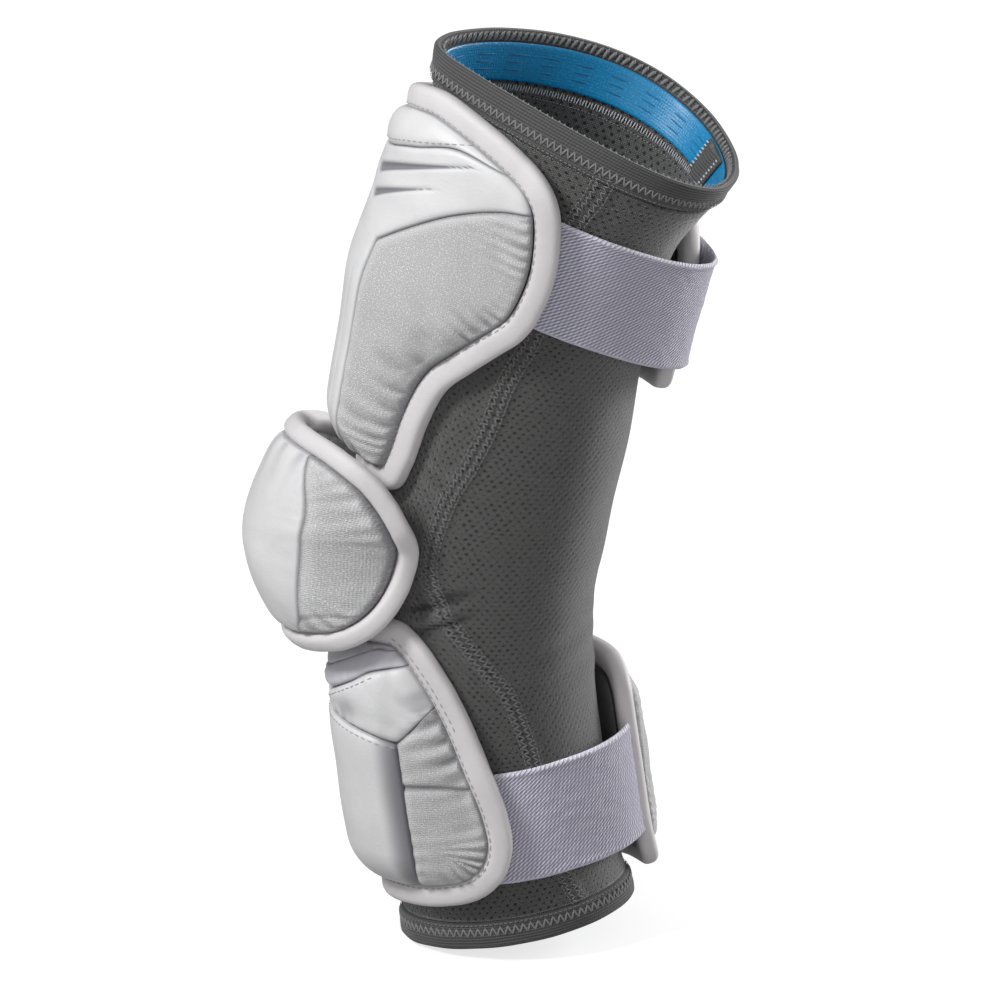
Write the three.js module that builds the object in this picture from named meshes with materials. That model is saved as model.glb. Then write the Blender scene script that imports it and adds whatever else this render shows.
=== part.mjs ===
// Lacrosse arm pad: a knitted sleeve that carries a padded upper arm guard, an elbow cap and a
// forearm guard, with one wide elastic strap at each end. Millimetres, +Z up along the arm.
// The origin is the middle of the sleeve at the elbow. The back of the arm, with the pads,
// faces -X, the inside of the elbow faces +X, and the strap that shows crosses the -Y side.
import * as THREE from 'three';

// Sleeve
const sleeveLength = 322;
const elbowShare = 0.437;
const sleeveWall = 1.6;
const wristWidth = 90.4;
const wristDepth = 76;
const elbowWidth = 92.7;
const elbowDepth = 82;
const topWidth = 124.4;
const topDepth = 100;
const wristLean = 12.9;
const topLean = 39.1;
const topRoll = 5.0;
const topBow = 5.7;

// Hems and the grip band inside the top
const topHemHeight = 10.5;
const bottomHemHeight = 8;
const topHemReach = 1.9;
const bottomHemReach = 2.2;
const hemThickness = 3.2;
const hemProud = 0.8;
const gripBandHeight = 12;
const gripBandThickness = 1.2;
const gripBandDrop = 3.5;
const gripJoinWidth = 13;
const gripJoinThickness = 1.2;
const gripJoinAngle = 166;

// Pads
const clearance = 0.35;
const seamGap = 0.45;
const padSeat = 0.75;
const panelSeat = 0.85;
const backingThickness = 2.5;
const nearWingThickness = 8.5;
const upperWingThickness = 8.5;
const forearmWingThickness = 13;
const bindingWidth = 10;
const bindingThickness = 7.5;
const capBindingWidth = 8;
const creaseDepth = 3.5;
const hemRampStart = 0.885;
const hemRampEnd = 0.945;
const upperPadThickness = 22;
const forearmPadThickness = 22;
const wingLift = 6;
const capWall = 10;
const capLift = 25.5;
const capDome = 28;
const capMiddleLift = 10;

// Straps
const strapWidth = 45;
const strapThickness = 1.8;

// Colours and surfaces
const finishes = {
  knit: { color: 0x58585a, roughness: 0.9, metalness: 0 },
  hem: { color: 0x6a6a6c, roughness: 0.85, metalness: 0 },
  grip: { color: 0x0a82c2, roughness: 0.6, metalness: 0 },
  lining: { color: 0x4a4a4e, roughness: 0.9, metalness: 0 },
  leather: { color: 0xdedee2, roughness: 0.45, metalness: 0 },
  binding: { color: 0xd2cdd2, roughness: 0.5, metalness: 0 },
  textile: { color: 0xbcbcbc, roughness: 0.75, metalness: 0 },
  rib: { color: 0xc9c9d0, roughness: 0.5, metalness: 0 },
  elastic: { color: 0xbdbacb, roughness: 0.8, metalness: 0 },
};

// Sleeve sections from the wrist to the top. at is a share of the sleeve's length, wristAhead and
// topAhead are shares of the two leans, wide and deep are shares of the width and depth there,
// tilt is in degrees, egg narrows the front, roll and bow are shares of the rim's roll and bow.
const sleeveColumns = ['at', 'wristAhead', 'topAhead', 'wide', 'deep', 'tilt', 'egg', 'roll', 'bow'];
const sleeveSections = [
  [0.000, 1.000, 0.000, 1.000, 1.000, 10.1, 0.00, 0.00, -0.18],
  [0.040, 0.853, 0.000, 0.952, 0.980, 9.6, 0.00, 0.00, -0.09],
  [0.158, 0.543, 0.000, 0.894, 0.972, 7.0, 0.00, 0.00, 0.00],
  [0.283, 0.186, 0.000, 0.879, 0.976, 3.3, 0.00, 0.00, 0.00],
  [0.381, -0.116, 0.000, 0.934, 0.985, 0.0, 0.00, 0.00, 0.00],
  [0.453, 0.000, -0.020, 0.991, 0.994, -3.7, 0.00, 0.00, 0.00],
  [0.532, 0.000, 0.102, 0.946, 0.976, -6.8, 0.00, 0.00, 0.00],
  [0.610, 0.000, 0.238, 0.912, 0.960, -8.0, 0.02, 0.00, 0.00],
  [0.729, 0.000, 0.379, 0.871, 0.942, -13.4, 0.06, 0.00, 0.00],
  [0.825, 0.000, 0.524, 0.869, 0.943, -17.5, 0.12, 0.11, 0.00],
  [0.900, 0.000, 0.665, 0.884, 0.961, -21.2, 0.22, 0.34, 0.26],
  [0.954, 0.000, 0.852, 0.943, 0.985, -22.0, 0.32, 0.68, 0.61],
  [1.000, 0.000, 1.000, 1.000, 1.000, -23.1, 0.40, 1.00, 1.00],
];

// Outlines of the pads' bindings, counter-clockwise from the bottom middle. angle is in degrees
// round the sleeve from the back of the arm, positive towards -Y, and at is a share of the
// sleeve's length. lift is a share of the cap's lift, how far its rim stands off the sleeve.
const outlineColumns = ['angle', 'at', 'lift'];
const upperPadOutline = [
  [0, 0.534, 0], [24, 0.534, 0], [41, 0.542, 0], [46.5, 0.575, 0],
  [50, 0.620, 0], [58, 0.668, 0], [69.5, 0.700, 0], [81, 0.732, 0],
  [91, 0.765, 0], [96.5, 0.810, 0], [98, 0.870, 0], [93.5, 0.920, 0],
  [85, 0.947, 0], [71.5, 0.963, 0], [53, 0.974, 0], [32, 0.978, 0],
  [14, 0.970, 0], [-4, 0.958, 0], [-28, 0.948, 0], [-53, 0.945, 0],
  [-80, 0.944, 0], [-107, 0.938, 0], [-134, 0.925, 0], [-158, 0.903, 0],
  [-171, 0.868, 0], [-177, 0.810, 0], [-179.5, 0.740, 0], [-174, 0.684, 0],
  [-150, 0.670, 0], [-116, 0.667, 0], [-84, 0.666, 0], [-64, 0.656, 0],
  [-52, 0.620, 0], [-46.5, 0.575, 0], [-41, 0.542, 0], [-24, 0.534, 0],
];
const capOutline = [
  [0, 0.347, 0.86], [20, 0.353, 0.84], [31, 0.360, 0.80], [42, 0.370, 0.68],
  [51, 0.389, 0.44], [57, 0.415, 0.16], [60.5, 0.450, -0.085], [61.5, 0.482, -0.085],
  [59, 0.512, 0.20], [52, 0.546, 0.43], [46, 0.566, 0.60], [39, 0.580, 0.76],
  [28, 0.591, 0.90], [14, 0.592, 0.98], [0, 0.586, 1.00], [-14, 0.576, 0.98],
  [-28, 0.563, 0.90], [-39, 0.549, 0.76], [-46, 0.535, 0.60], [-53, 0.512, 0.40],
  [-59, 0.480, -0.02], [-61.5, 0.452, -0.085], [-60.5, 0.422, -0.085], [-57, 0.390, 0.16],
  [-51, 0.364, 0.44], [-42, 0.348, 0.68], [-31, 0.341, 0.80], [-18, 0.341, 0.84],
];
const forearmPadOutline = [
  [0, 0.044, 0], [30, 0.047, 0], [57, 0.050, 0], [76, 0.059, 0],
  [88.5, 0.083, 0], [94, 0.120, 0], [93, 0.165, 0], [86.5, 0.228, 0],
  [78, 0.293, 0], [70.5, 0.338, 0], [61, 0.375, 0], [50, 0.393, 0],
  [24, 0.388, 0], [0, 0.382, 0], [-24, 0.388, 0], [-50, 0.390, 0],
  [-66, 0.372, 0], [-84, 0.338, 0], [-110, 0.316, 0], [-140, 0.304, 0],
  [-164, 0.291, 0], [-178, 0.262, 0], [-182, 0.220, 0], [-182, 0.140, 0],
  [-181, 0.060, 0], [-170, 0.014, 0], [-142, 0.014, 0], [-108, 0.024, 0],
  [-80, 0.035, 0], [-56, 0.042, 0], [-30, 0.045, 0],
];

// How thick the pads are: middle is the share of the pad's thickness above its wings, by the
// place along the sleeve, and across is the share of that by the angle from the back of the arm.
const middleColumns = ['at', 'middle'];
const upperPadMiddle = table(middleColumns, [
  [0.530, 0.90], [0.600, 1.06], [0.700, 1.03], [0.772, 0.98], [0.795, 0.85], [0.820, 0.70],
  [0.842, 0.58], [0.862, 0.52], [0.885, 0.40], [0.905, 0.40], [0.945, 0.25], [0.980, 0.05],
]);
const forearmPadMiddle = table(middleColumns, [
  [0.044, 0.10], [0.070, 0.45], [0.097, 0.72], [0.145, 0.92], [0.205, 1.00], [0.262, 1.02],
  [0.280, 0.94], [0.303, 0.98], [0.320, 0.90], [0.345, 0.70], [0.370, 0.50],
]);
const acrossColumns = ['angle', 'across'];
const upperPadAcross = table(acrossColumns, [
  [0, 1.00], [20, 0.94], [38, 0.66], [57, 0.38], [75, 0.16], [90, 0.00], [180, 0.00],
]);
const forearmPadAcross = table(acrossColumns, [
  [0, 1.00], [40, 0.97], [44, 0.88], [49, 0.62], [60, 0.45], [75, 0.18], [90, 0.00], [180, 0.00],
]);

// Straps: at is the middle of the strap, and rise is a share of the height that it has where it
// meets the far wing, by the angle round the sleeve from the near wing.
const strapColumns = ['angle', 'at', 'rise'];
const upperStrapCourse = [
  [88, 0.842, 0.00], [110, 0.836, 0.00], [130, 0.829, 0.05], [148, 0.821, 0.29],
  [163, 0.814, 0.64], [175, 0.809, 0.92], [184, 0.806, 1.03], [200, 0.804, 1.02],
  [216, 0.803, 1.00], [232, 0.802, 0.96],
];
const lowerStrapCourse = [
  [84.5, 0.139, 0.00], [108, 0.139, 0.00], [128, 0.140, 0.08], [146, 0.141, 0.36],
  [162, 0.143, 0.72], [177.2, 0.144, 1.00],
];

const arcPerDegree = Math.PI * (elbowWidth + elbowDepth) / 720;
const group = new THREE.Group();

// A table's rows as one object for each row, keyed by its column names
function table(columns, rows) {
  return rows.map((row) => Object.fromEntries(columns.map((name, index) => [name, row[index]])));
}

// The slope of a column at one row, weighted by the steps on its two sides
function slope(rows, index, key, column) {
  const change = (low, high, name) => rows[high][name] - rows[low][name];
  const rise = (low, high) => change(low, high, column) / change(low, high, key);
  if (index === 0) return rise(0, 1);
  if (index === rows.length - 1) return rise(index - 1, index);
  const before = rows[index][key] - rows[index - 1][key];
  const after = rows[index + 1][key] - rows[index][key];
  return (before * rise(index, index + 1) + after * rise(index - 1, index)) / (before + after);
}

// A smooth value of a column between the rows of a table
function smooth(rows, key, column, value) {
  let index = 0;
  while (index < rows.length - 2 && value > rows[index + 1][key]) index += 1;
  const step = rows[index + 1][key] - rows[index][key];
  const t = (value - rows[index][key]) / step;
  const start = rows[index][column];
  const end = rows[index + 1][column];
  const startSlope = slope(rows, index, key, column) * step;
  const endSlope = slope(rows, index + 1, key, column) * step;
  const blend = t * t * (3 - 2 * t);
  return start + (end - start) * blend + startSlope * t * (1 - t) ** 2 - endSlope * t * t * (1 - t);
}

const sections = table(sleeveColumns, sleeveSections);

// A size that runs from its wrist value to its elbow value and on to its top value
function alongArm(at, wrist, elbow, top) {
  if (at < elbowShare) return THREE.MathUtils.lerp(wrist, elbow, at / elbowShare);
  return THREE.MathUtils.lerp(elbow, top, (at - elbowShare) / (1 - elbowShare));
}

// The point that lies a height above the sleeve's outer face
function onSleeve(angle, at, height) {
  const turn = THREE.MathUtils.degToRad(angle);
  const value = (column) => smooth(sections, 'at', column, at);
  const halfWidth = value('wide') * alongArm(at, wristWidth, elbowWidth, topWidth) / 2;
  const halfDepth = value('deep') * alongArm(at, wristDepth, elbowDepth, topDepth) / 2;
  const egg = value('egg');
  const tilt = THREE.MathUtils.degToRad(value('tilt'));
  const squeeze = 1 - egg * Math.cos(turn);
  const alongU = halfWidth * Math.sin(turn);
  const alongV = -halfDepth * (squeeze * Math.cos(turn) + egg * Math.sin(turn) ** 2);
  const length = Math.hypot(alongU, alongV);
  const ahead = -halfWidth * Math.cos(turn) + height * alongV / length;
  const aside = -halfDepth * squeeze * Math.sin(turn) - height * alongU / length;
  const lean = wristLean * value('wristAhead') + topLean * value('topAhead');
  const roll = topRoll * value('roll') * squeeze * Math.sin(turn);
  const bow = topBow * value('bow') * Math.sin(turn) ** 2;
  const middle = sleeveLength * (at - elbowShare);
  return new THREE.Vector3(
    lean + ahead * Math.cos(tilt),
    aside,
    middle + ahead * Math.sin(tilt) - roll + bow,
  );
}

// A closed body from a list of points and quads, turned so that its faces point out
function addBody(name, finish, points, quads) {
  const triangles = quads.flatMap(([a, b, c, d]) => [[a, b, c], [a, c, d]]);
  const volume = triangles.reduce((sum, [a, b, c]) => {
    return sum + points[a].dot(new THREE.Vector3().crossVectors(points[b], points[c]));
  }, 0);
  const outward = volume > 0 ? triangles : triangles.map(([a, b, c]) => [a, c, b]);
  const geometry = new THREE.BufferGeometry();
  const numbers = new Float32Array(points.flatMap((point) => point.toArray()));
  geometry.setAttribute('position', new THREE.BufferAttribute(numbers, 3));
  geometry.setIndex(outward.flat());
  geometry.computeVertexNormals();
  const mesh = new THREE.Mesh(geometry, new THREE.MeshStandardMaterial(finishes[finish]));
  mesh.name = name;
  group.add(mesh);
}

// Steps from 0 to 1, even ones and ones that are closer together at both ends
function evenSteps(count) {
  return Array.from({ length: count + 1 }, (_, index) => index / count);
}

function closerAtEnds(count) {
  return evenSteps(count).map((step) => (1 - Math.cos(Math.PI * step)) / 2);
}

// A slab between an under face and an upper face, each a grid over across and along
function addSlab(name, finish, acrossSteps, alongSteps, pointAt) {
  const columns = acrossSteps.length;
  const rows = alongSteps.length;
  const points = [];
  for (const face of ['under', 'upper']) {
    for (const v of alongSteps) {
      for (const u of acrossSteps) points.push(pointAt(u, v, face));
    }
  }
  const under = (column, row) => row * columns + column;
  const upper = (column, row) => (rows + row) * columns + column;
  const quads = [];
  for (let row = 0; row < rows - 1; row += 1) {
    for (let column = 0; column < columns - 1; column += 1) {
      const next = column + 1;
      quads.push([upper(column, row), upper(next, row), upper(next, row + 1), upper(column, row + 1)]);
      quads.push([under(column, row), under(column, row + 1), under(next, row + 1), under(next, row)]);
    }
  }
  const end = rows - 1;
  const side = columns - 1;
  for (let column = 0; column < side; column += 1) {
    const next = column + 1;
    quads.push([under(column, 0), under(next, 0), upper(next, 0), upper(column, 0)]);
    quads.push([under(next, end), under(column, end), upper(column, end), upper(next, end)]);
  }
  for (let row = 0; row < end; row += 1) {
    const next = row + 1;
    quads.push([under(0, next), under(0, row), upper(0, row), upper(0, next)]);
    quads.push([under(side, row), under(side, next), upper(side, next), upper(side, row)]);
  }
  addBody(name, finish, points, quads);
}

// A band that closes on itself: steps round the loop, sides round its section
function addLoop(name, finish, steps, sides, pointAt) {
  const points = [];
  for (let step = 0; step < steps; step += 1) {
    for (let side = 0; side < sides; side += 1) points.push(pointAt(step / steps, side / sides));
  }
  const index = (step, side) => (step % steps) * sides + side % sides;
  const quads = [];
  for (let step = 0; step < steps; step += 1) {
    for (let side = 0; side < sides; side += 1) {
      const next = step + 1;
      quads.push([index(step, side), index(next, side), index(next, side + 1), index(step, side + 1)]);
    }
  }
  addBody(name, finish, points, quads);
}

// Outlines are drawn flat: x is the way round the sleeve and y the way along it, and z is the lift
function flat(angle, at, lift = 0) {
  return new THREE.Vector3(angle * arcPerDegree, at * sleeveLength, lift);
}

function onFlat(point, height) {
  return onSleeve(point.x / arcPerDegree, point.y / sleeveLength, height);
}

function outlineOf(rows, lift) {
  const points = table(outlineColumns, rows).map((row) => flat(row.angle, row.at, row.lift * lift));
  return new THREE.CatmullRomCurve3(points, true, 'centripetal');
}

// A point of an outline, moved inwards in the flat
function inside(outline, share, distance) {
  const turn = ((share % 1) + 1) % 1;
  const point = outline.getPointAt(turn);
  const forward = outline.getTangentAt(turn);
  const reach = Math.hypot(forward.x, forward.y);
  point.x -= distance * forward.y / reach;
  point.y += distance * forward.x / reach;
  return point;
}

// The share of an outline that lies nearest to a place on the sleeve
function shareNear(outline, angle, at) {
  const target = flat(angle, at);
  let best = 0;
  let least = Infinity;
  for (let step = 0; step < 600; step += 1) {
    const point = outline.getPointAt(step / 600);
    const distance = Math.hypot(point.x - target.x, point.y - target.y);
    if (distance < least) {
      least = distance;
      best = step / 600;
    }
  }
  return best;
}

// The shares of an outline that lie nearest to named places, each an angle and an at
function cornersOf(outline, corners) {
  const near = ([name, [angle, at]]) => [name, shareNear(outline, angle, at)];
  return Object.fromEntries(Object.entries(corners).map(near));
}

// The stretch of an outline between two shares of it, counted forwards, or backwards if to is less
function stretch(outline, from, to, distance) {
  return (t) => inside(outline, THREE.MathUtils.lerp(from, to, t), distance);
}

function lineThrough(points) {
  const curve = new THREE.CatmullRomCurve3(points, false, 'centripetal');
  return (t) => curve.getPointAt(t);
}

// A patch between four edges that meet at their ends
function patch(bottom, right, top, left) {
  return (u, v) => {
    const point = bottom(u).multiplyScalar(1 - v).add(top(u).multiplyScalar(v));
    point.add(left(v).multiplyScalar(1 - u)).add(right(v).multiplyScalar(u));
    const low = bottom(0).multiplyScalar(1 - u).add(bottom(1).multiplyScalar(u));
    const high = top(0).multiplyScalar(1 - u).add(top(1).multiplyScalar(u));
    return point.sub(low.multiplyScalar(1 - v)).sub(high.multiplyScalar(v));
  };
}

// How full a panel is at a share of its way across: nothing at its two seams, one between them
function fullness(t, seam) {
  const near = Math.min(t, 1 - t) / seam;
  return near >= 1 ? 1 : 1 - (1 - near) ** 2;
}

// The rounded edge that binds a pad's outline
const bindingSides = 6;
function addBinding(name, outline, steps, floorAt) {
  addLoop(name, 'binding', steps, bindingSides, (share, side) => {
    const turn = 2 * Math.PI * (side + 0.5 / bindingSides);
    const point = inside(outline, share, bindingWidth * (1 - Math.cos(turn)) / 2);
    const floor = floorAt(inside(outline, share, bindingWidth / 2));
    return onFlat(point, floor + bindingThickness * (1 + Math.sin(turn)) / 2);
  });
}

// A panel that fills part of a patch, between a floor and a top that are given by u, v and place.
// It stops short of its seams, and its top dips by the crease's depth towards them. seamAcross and
// seamAlong are the shares of the panel that dip, and across and along are its steps.
function addPanel(name, finish, area, { across, along, seamAcross, seamAlong, floorAt, topAt }) {
  const shrink = (t, size) => THREE.MathUtils.lerp(seamGap / size, 1 - seamGap / size, t);
  const acrossSize = area(0, 0.5).distanceTo(area(1, 0.5));
  const alongSize = area(0.5, 0).distanceTo(area(0.5, 1));
  addSlab(name, finish, across, along, (u, v, face) => {
    const point = area(shrink(u, acrossSize), shrink(v, alongSize));
    if (face === 'under') return onFlat(point, floorAt(point, u, v));
    const full = fullness(u, seamAcross) * fullness(v, seamAlong);
    return onFlat(point, topAt(point, u, v) - creaseDepth * (1 - full));
  });
}

// Edges that follow one another: each takes its share of the way
function joined(edges, shares) {
  return (t) => {
    let index = 0;
    while (index < edges.length - 1 && t > shares[index]) index += 1;
    const from = index === 0 ? 0 : shares[index - 1];
    const to = index === edges.length - 1 ? 1 : shares[index];
    return edges[index]((t - from) / (to - from));
  };
}

function places(rows) {
  return rows.map(([angle, at]) => flat(angle, at));
}

const angleOf = (point) => point.x / arcPerDegree;
const atOf = (point) => point.y / sleeveLength;
const insetOfPanels = bindingWidth + clearance;
const insetOfBacking = bindingWidth + 2 * clearance;

// How far a pad's underside stands off the sleeve, beside the clearance: it clears the strap that
// is tucked under the near wing, the far wing stands away, and the top rests over the hem.
function padLift(point) {
  const near = THREE.MathUtils.smoothstep(angleOf(point), 72, 84) * strapThickness;
  const far = THREE.MathUtils.smoothstep(-angleOf(point), 84, 155) * wingLift;
  const hem = THREE.MathUtils.smoothstep(atOf(point), hemRampStart, hemRampEnd) * hemProud;
  return near + far + hem;
}

const padFloor = (point) => padSeat + padLift(point);
const panelFloor = (point) => padFloor(point) + backingThickness + panelSeat;

// The height of a pad's panels above the sleeve
function padTop(point, middle, across, thickness, farWing) {
  const angle = angleOf(point);
  const far = THREE.MathUtils.smoothstep(-angle, 40, 110);
  const wing = THREE.MathUtils.lerp(nearWingThickness, farWing, far);
  const along = smooth(middle, 'at', 'middle', atOf(point));
  const rise = Math.max(along * smooth(across, 'angle', 'across', Math.abs(angle)), 0);
  return padFloor(point) + wing + (thickness - nearWingThickness) * rise;
}

// Sleeve and hems
const stepsAround = 32;
const rowsCloserAtTop = 1.5;
function addShell(name, finish, from, to, innerHeight, outerHeight, along) {
  const rowAt = (row) => THREE.MathUtils.lerp(from, to, 1 - (1 - row / along) ** rowsCloserAtTop);
  const outer = Array.from({ length: along + 1 }, (_, row) => [rowAt(row), outerHeight]);
  const inner = Array.from({ length: along + 1 }, (_, row) => [rowAt(along - row), innerHeight]);
  const section = [...outer, ...inner];
  addLoop(name, finish, stepsAround, section.length, (step, side) => {
    const [at, height] = section[Math.round(side * section.length)];
    return onSleeve(360 * step, at, height);
  });
}

const topHemShare = topHemHeight / sleeveLength;
const bottomHemShare = bottomHemHeight / sleeveLength;
const gapShare = clearance / sleeveLength;
addShell('sleeve', 'knit', bottomHemShare + gapShare, 1 - topHemShare - gapShare, -sleeveWall, 0, 17);
const topEnd = 1 + topHemReach / sleeveLength;
const bottomEnd = -bottomHemReach / sleeveLength;
addShell('bottom_hem', 'hem', bottomEnd, bottomHemShare, hemProud - hemThickness, hemProud, 1);
addShell('top_hem', 'hem', 1 - topHemShare, topEnd, hemProud - hemThickness, hemProud, 1);

// Grip band inside the top hem, and the folded join that covers its ends
const gripTop = topEnd - gripBandDrop / sleeveLength;
const gripBottom = gripTop - gripBandHeight / sleeveLength;
const gripFace = hemProud - hemThickness - clearance;
addShell('grip_band', 'grip', gripBottom, gripTop, gripFace - gripBandThickness, gripFace, 1);
const joinFace = gripFace - gripBandThickness - clearance;
const joinHalf = gripJoinWidth / arcPerDegree / 2;
addSlab('grip_band_join', 'knit', evenSteps(3), evenSteps(2), (u, v, face) => {
  const angle = THREE.MathUtils.lerp(gripJoinAngle - joinHalf, gripJoinAngle + joinHalf, u);
  const height = face === 'under' ? joinFace - gripJoinThickness : joinFace;
  return onSleeve(-angle, THREE.MathUtils.lerp(gripBottom - gapShare, gripTop, v), height);
});

// Upper arm pad
const upperOutline = outlineOf(upperPadOutline, 0);
const upperTop = (point) => {
  return padTop(point, upperPadMiddle, upperPadAcross, upperPadThickness, upperWingThickness);
};
addBinding('upper_pad_binding', upperOutline, 64, padFloor);

const upper = cornersOf(upperOutline, {
  bottomNear: [41, 0.542],
  creaseNear: [94, 0.918],
  collarNear: [74, 0.961],
  topNear: [54, 0.974],
  topFar: [-50, 0.945],
  collarFar: [-72, 0.944],
  creaseFar: [-107, 0.938],
  wingTop: [-160, 0.900],
  wingBottom: [-176, 0.690],
  bottomFar: [-41, 0.542],
});
const upperEdge = (from, to) => stretch(upperOutline, from, to, insetOfPanels);
const upperPoint = (share) => inside(upperOutline, share, insetOfPanels);
const spineRows = [[16, 0.576], [16.5, 0.620], [17.5, 0.700], [19, 0.760], [21, 0.805]];
const mirrored = (rows) => rows.map(([angle, at]) => [-angle, at]);
const spineNear = lineThrough(places(spineRows));
const spineFar = lineThrough(places(mirrored(spineRows)));
const creaseRows = [[21, 0.805], [34, 0.833], [54, 0.870], [72, 0.896]];
const creaseFarRows = [[-21, 0.805], [-34, 0.828], [-54, 0.856], [-76, 0.880]];
const creaseNear = lineThrough([...places(creaseRows), upperPoint(upper.creaseNear)]);
const creaseFar = lineThrough([...places(creaseFarRows), upperPoint(upper.creaseFar)]);
const collarRows = [[48, 0.933], [27, 0.910], [0, 0.888], [-27, 0.896], [-46, 0.908]];
const collarLine = lineThrough([
  upperPoint(upper.collarNear), ...places(collarRows), upperPoint(upper.collarFar),
]);
const spineFoot = lineThrough(places([spineRows[0], [-spineRows[0][0], spineRows[0][1]]]));

const upperBackingEdge = (from, to) => stretch(upperOutline, from, to, insetOfBacking);
const upperWhole = patch(
  upperBackingEdge(upper.bottomNear, upper.wingBottom - 1),
  upperBackingEdge(upper.wingBottom, upper.wingTop),
  upperBackingEdge(upper.topNear, upper.wingTop),
  upperBackingEdge(upper.bottomNear, upper.topNear),
);
function addBacking(name, area, across) {
  addSlab(name, 'lining', evenSteps(across), evenSteps(9), (u, v, face) => {
    const point = area(u, v);
    return onFlat(point, padFloor(point) + (face === 'under' ? 0 : backingThickness));
  });
}
addBacking('upper_pad_backing', upperWhole, 24);

const shieldShares = [5 / 12, 10 / 12];
const upperShield = patch(
  spineFoot,
  joined([spineFar, creaseFar, upperEdge(upper.creaseFar, upper.collarFar)], shieldShares),
  collarLine,
  joined([spineNear, creaseNear, upperEdge(upper.creaseNear, upper.collarNear)], shieldShares),
);
addPanel('upper_pad_shield', 'leather', upperShield, {
  across: evenSteps(14),
  along: evenSteps(12),
  seamAcross: 0.12,
  seamAlong: 0.08,
  floorAt: panelFloor,
  topAt: upperTop,
});
const upperCollar = patch(
  collarLine,
  upperEdge(upper.collarFar, upper.topFar),
  upperEdge(upper.topNear, upper.topFar),
  upperEdge(upper.collarNear, upper.topNear),
);
addPanel('upper_pad_collar', 'leather', upperCollar, {
  across: evenSteps(14),
  along: closerAtEnds(3),
  seamAcross: 0.1,
  seamAlong: 0.3,
  floorAt: panelFloor,
  topAt: upperTop,
});
const upperSideNear = patch(
  lineThrough([upperPoint(upper.bottomNear), ...places([spineRows[0]])]),
  spineNear,
  (t) => creaseNear(1 - t),
  upperEdge(upper.bottomNear, upper.creaseNear),
);
addPanel('upper_pad_side_near', 'textile', upperSideNear, {
  across: closerAtEnds(6),
  along: closerAtEnds(10),
  seamAcross: 0.14,
  seamAlong: 0.1,
  floorAt: panelFloor,
  topAt: upperTop,
});
const upperSideFar = patch(
  joined([
    lineThrough([...places(mirrored([spineRows[0]])), upperPoint(upper.bottomFar)]),
    upperEdge(upper.bottomFar, upper.wingBottom),
  ], [2 / 14]),
  upperEdge(upper.wingBottom, upper.wingTop),
  joined([creaseFar, upperEdge(upper.creaseFar, upper.wingTop)], [8 / 14]),
  spineFar,
);
addPanel('upper_pad_side_far', 'textile', upperSideFar, {
  across: evenSteps(14),
  along: closerAtEnds(7),
  seamAcross: 0.08,
  seamAlong: 0.1,
  floorAt: panelFloor,
  topAt: upperTop,
});

// Elbow cap: a domed shell that stands off the sleeve on its two side edges. Its height at a
// place follows how far that place is from the cap's middle towards its rim.
const capRim = outlineOf(capOutline, capLift);
const capMiddle = flat(0, 0.466);
const capSteepness = { ends: 0.9, sides: 1.3 };
const capRays = Array.from({ length: 120 }, (_, index) => {
  const point = capRim.getPointAt(index / 120);
  const bearing = Math.atan2(point.x - capMiddle.x, capMiddle.y - point.y);
  return { bearing, reach: Math.hypot(point.x - capMiddle.x, point.y - capMiddle.y), lift: point.z };
}).sort((one, other) => one.bearing - other.bearing);
const firstRay = capRays[0];
const lastRay = capRays[capRays.length - 1];
capRays.unshift({ ...lastRay, bearing: lastRay.bearing - 2 * Math.PI });
capRays.push({ ...firstRay, bearing: firstRay.bearing + 2 * Math.PI });

function capHeight(point) {
  const bearing = Math.atan2(point.x - capMiddle.x, capMiddle.y - point.y);
  const index = capRays.findIndex((ray) => ray.bearing >= bearing);
  const [before, after] = [capRays[index - 1], capRays[index]];
  const blend = (bearing - before.bearing) / (after.bearing - before.bearing);
  const reach = THREE.MathUtils.lerp(before.reach, after.reach, blend);
  const rimLift = THREE.MathUtils.lerp(before.lift, after.lift, blend);
  const out = Math.min(Math.hypot(point.x - capMiddle.x, point.y - capMiddle.y) / reach, 1);
  const lift = THREE.MathUtils.lerp(capMiddleLift, rimLift, out ** 2);
  const steepness = THREE.MathUtils.lerp(capSteepness.ends, capSteepness.sides, Math.sin(bearing) ** 2);
  return padSeat + lift + bindingThickness + capDome * (1 - out ** 2) ** steepness;
}

addLoop('elbow_cap_binding', 'binding', 44, bindingSides, (share, side) => {
  const turn = 2 * Math.PI * (side + 0.5 / bindingSides);
  const point = inside(capRim, share, capBindingWidth * (1 - Math.cos(turn)) / 2);
  return onFlat(point, capHeight(point) - bindingThickness * (1 - Math.sin(turn)) / 2);
});
const cap = cornersOf(capRim, {
  bottomNear: [42, 0.370],
  topNear: [44, 0.571],
  topFar: [-44, 0.540],
  bottomFar: [-42, 0.348],
});
const capEdge = (from, to) => stretch(capRim, from, to, capBindingWidth + clearance);
const capWhole = patch(
  capEdge(cap.bottomNear, cap.bottomFar - 1),
  capEdge(cap.bottomFar, cap.topFar),
  capEdge(cap.topNear, cap.topFar),
  capEdge(cap.bottomNear, cap.topNear),
);
const capSeamShare = 0.2;
const capWallRamp = 0.3;
function addCapPanel(name, finish, [from, to], columns, seamAcross) {
  const area = (u, v) => capWhole(THREE.MathUtils.lerp(from, to, u), v);
  const wallAt = (v) => THREE.MathUtils.lerp(bindingThickness, capWall, fullness(v, capWallRamp));
  addPanel(name, finish, area, {
    across: closerAtEnds(columns),
    along: closerAtEnds(9),
    seamAcross,
    seamAlong: 0.1,
    floorAt: (point, u, v) => capHeight(point) - wallAt(v),
    topAt: capHeight,
  });
}
addCapPanel('elbow_cap_side_near', 'textile', [0, capSeamShare], 4, 0.3);
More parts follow.
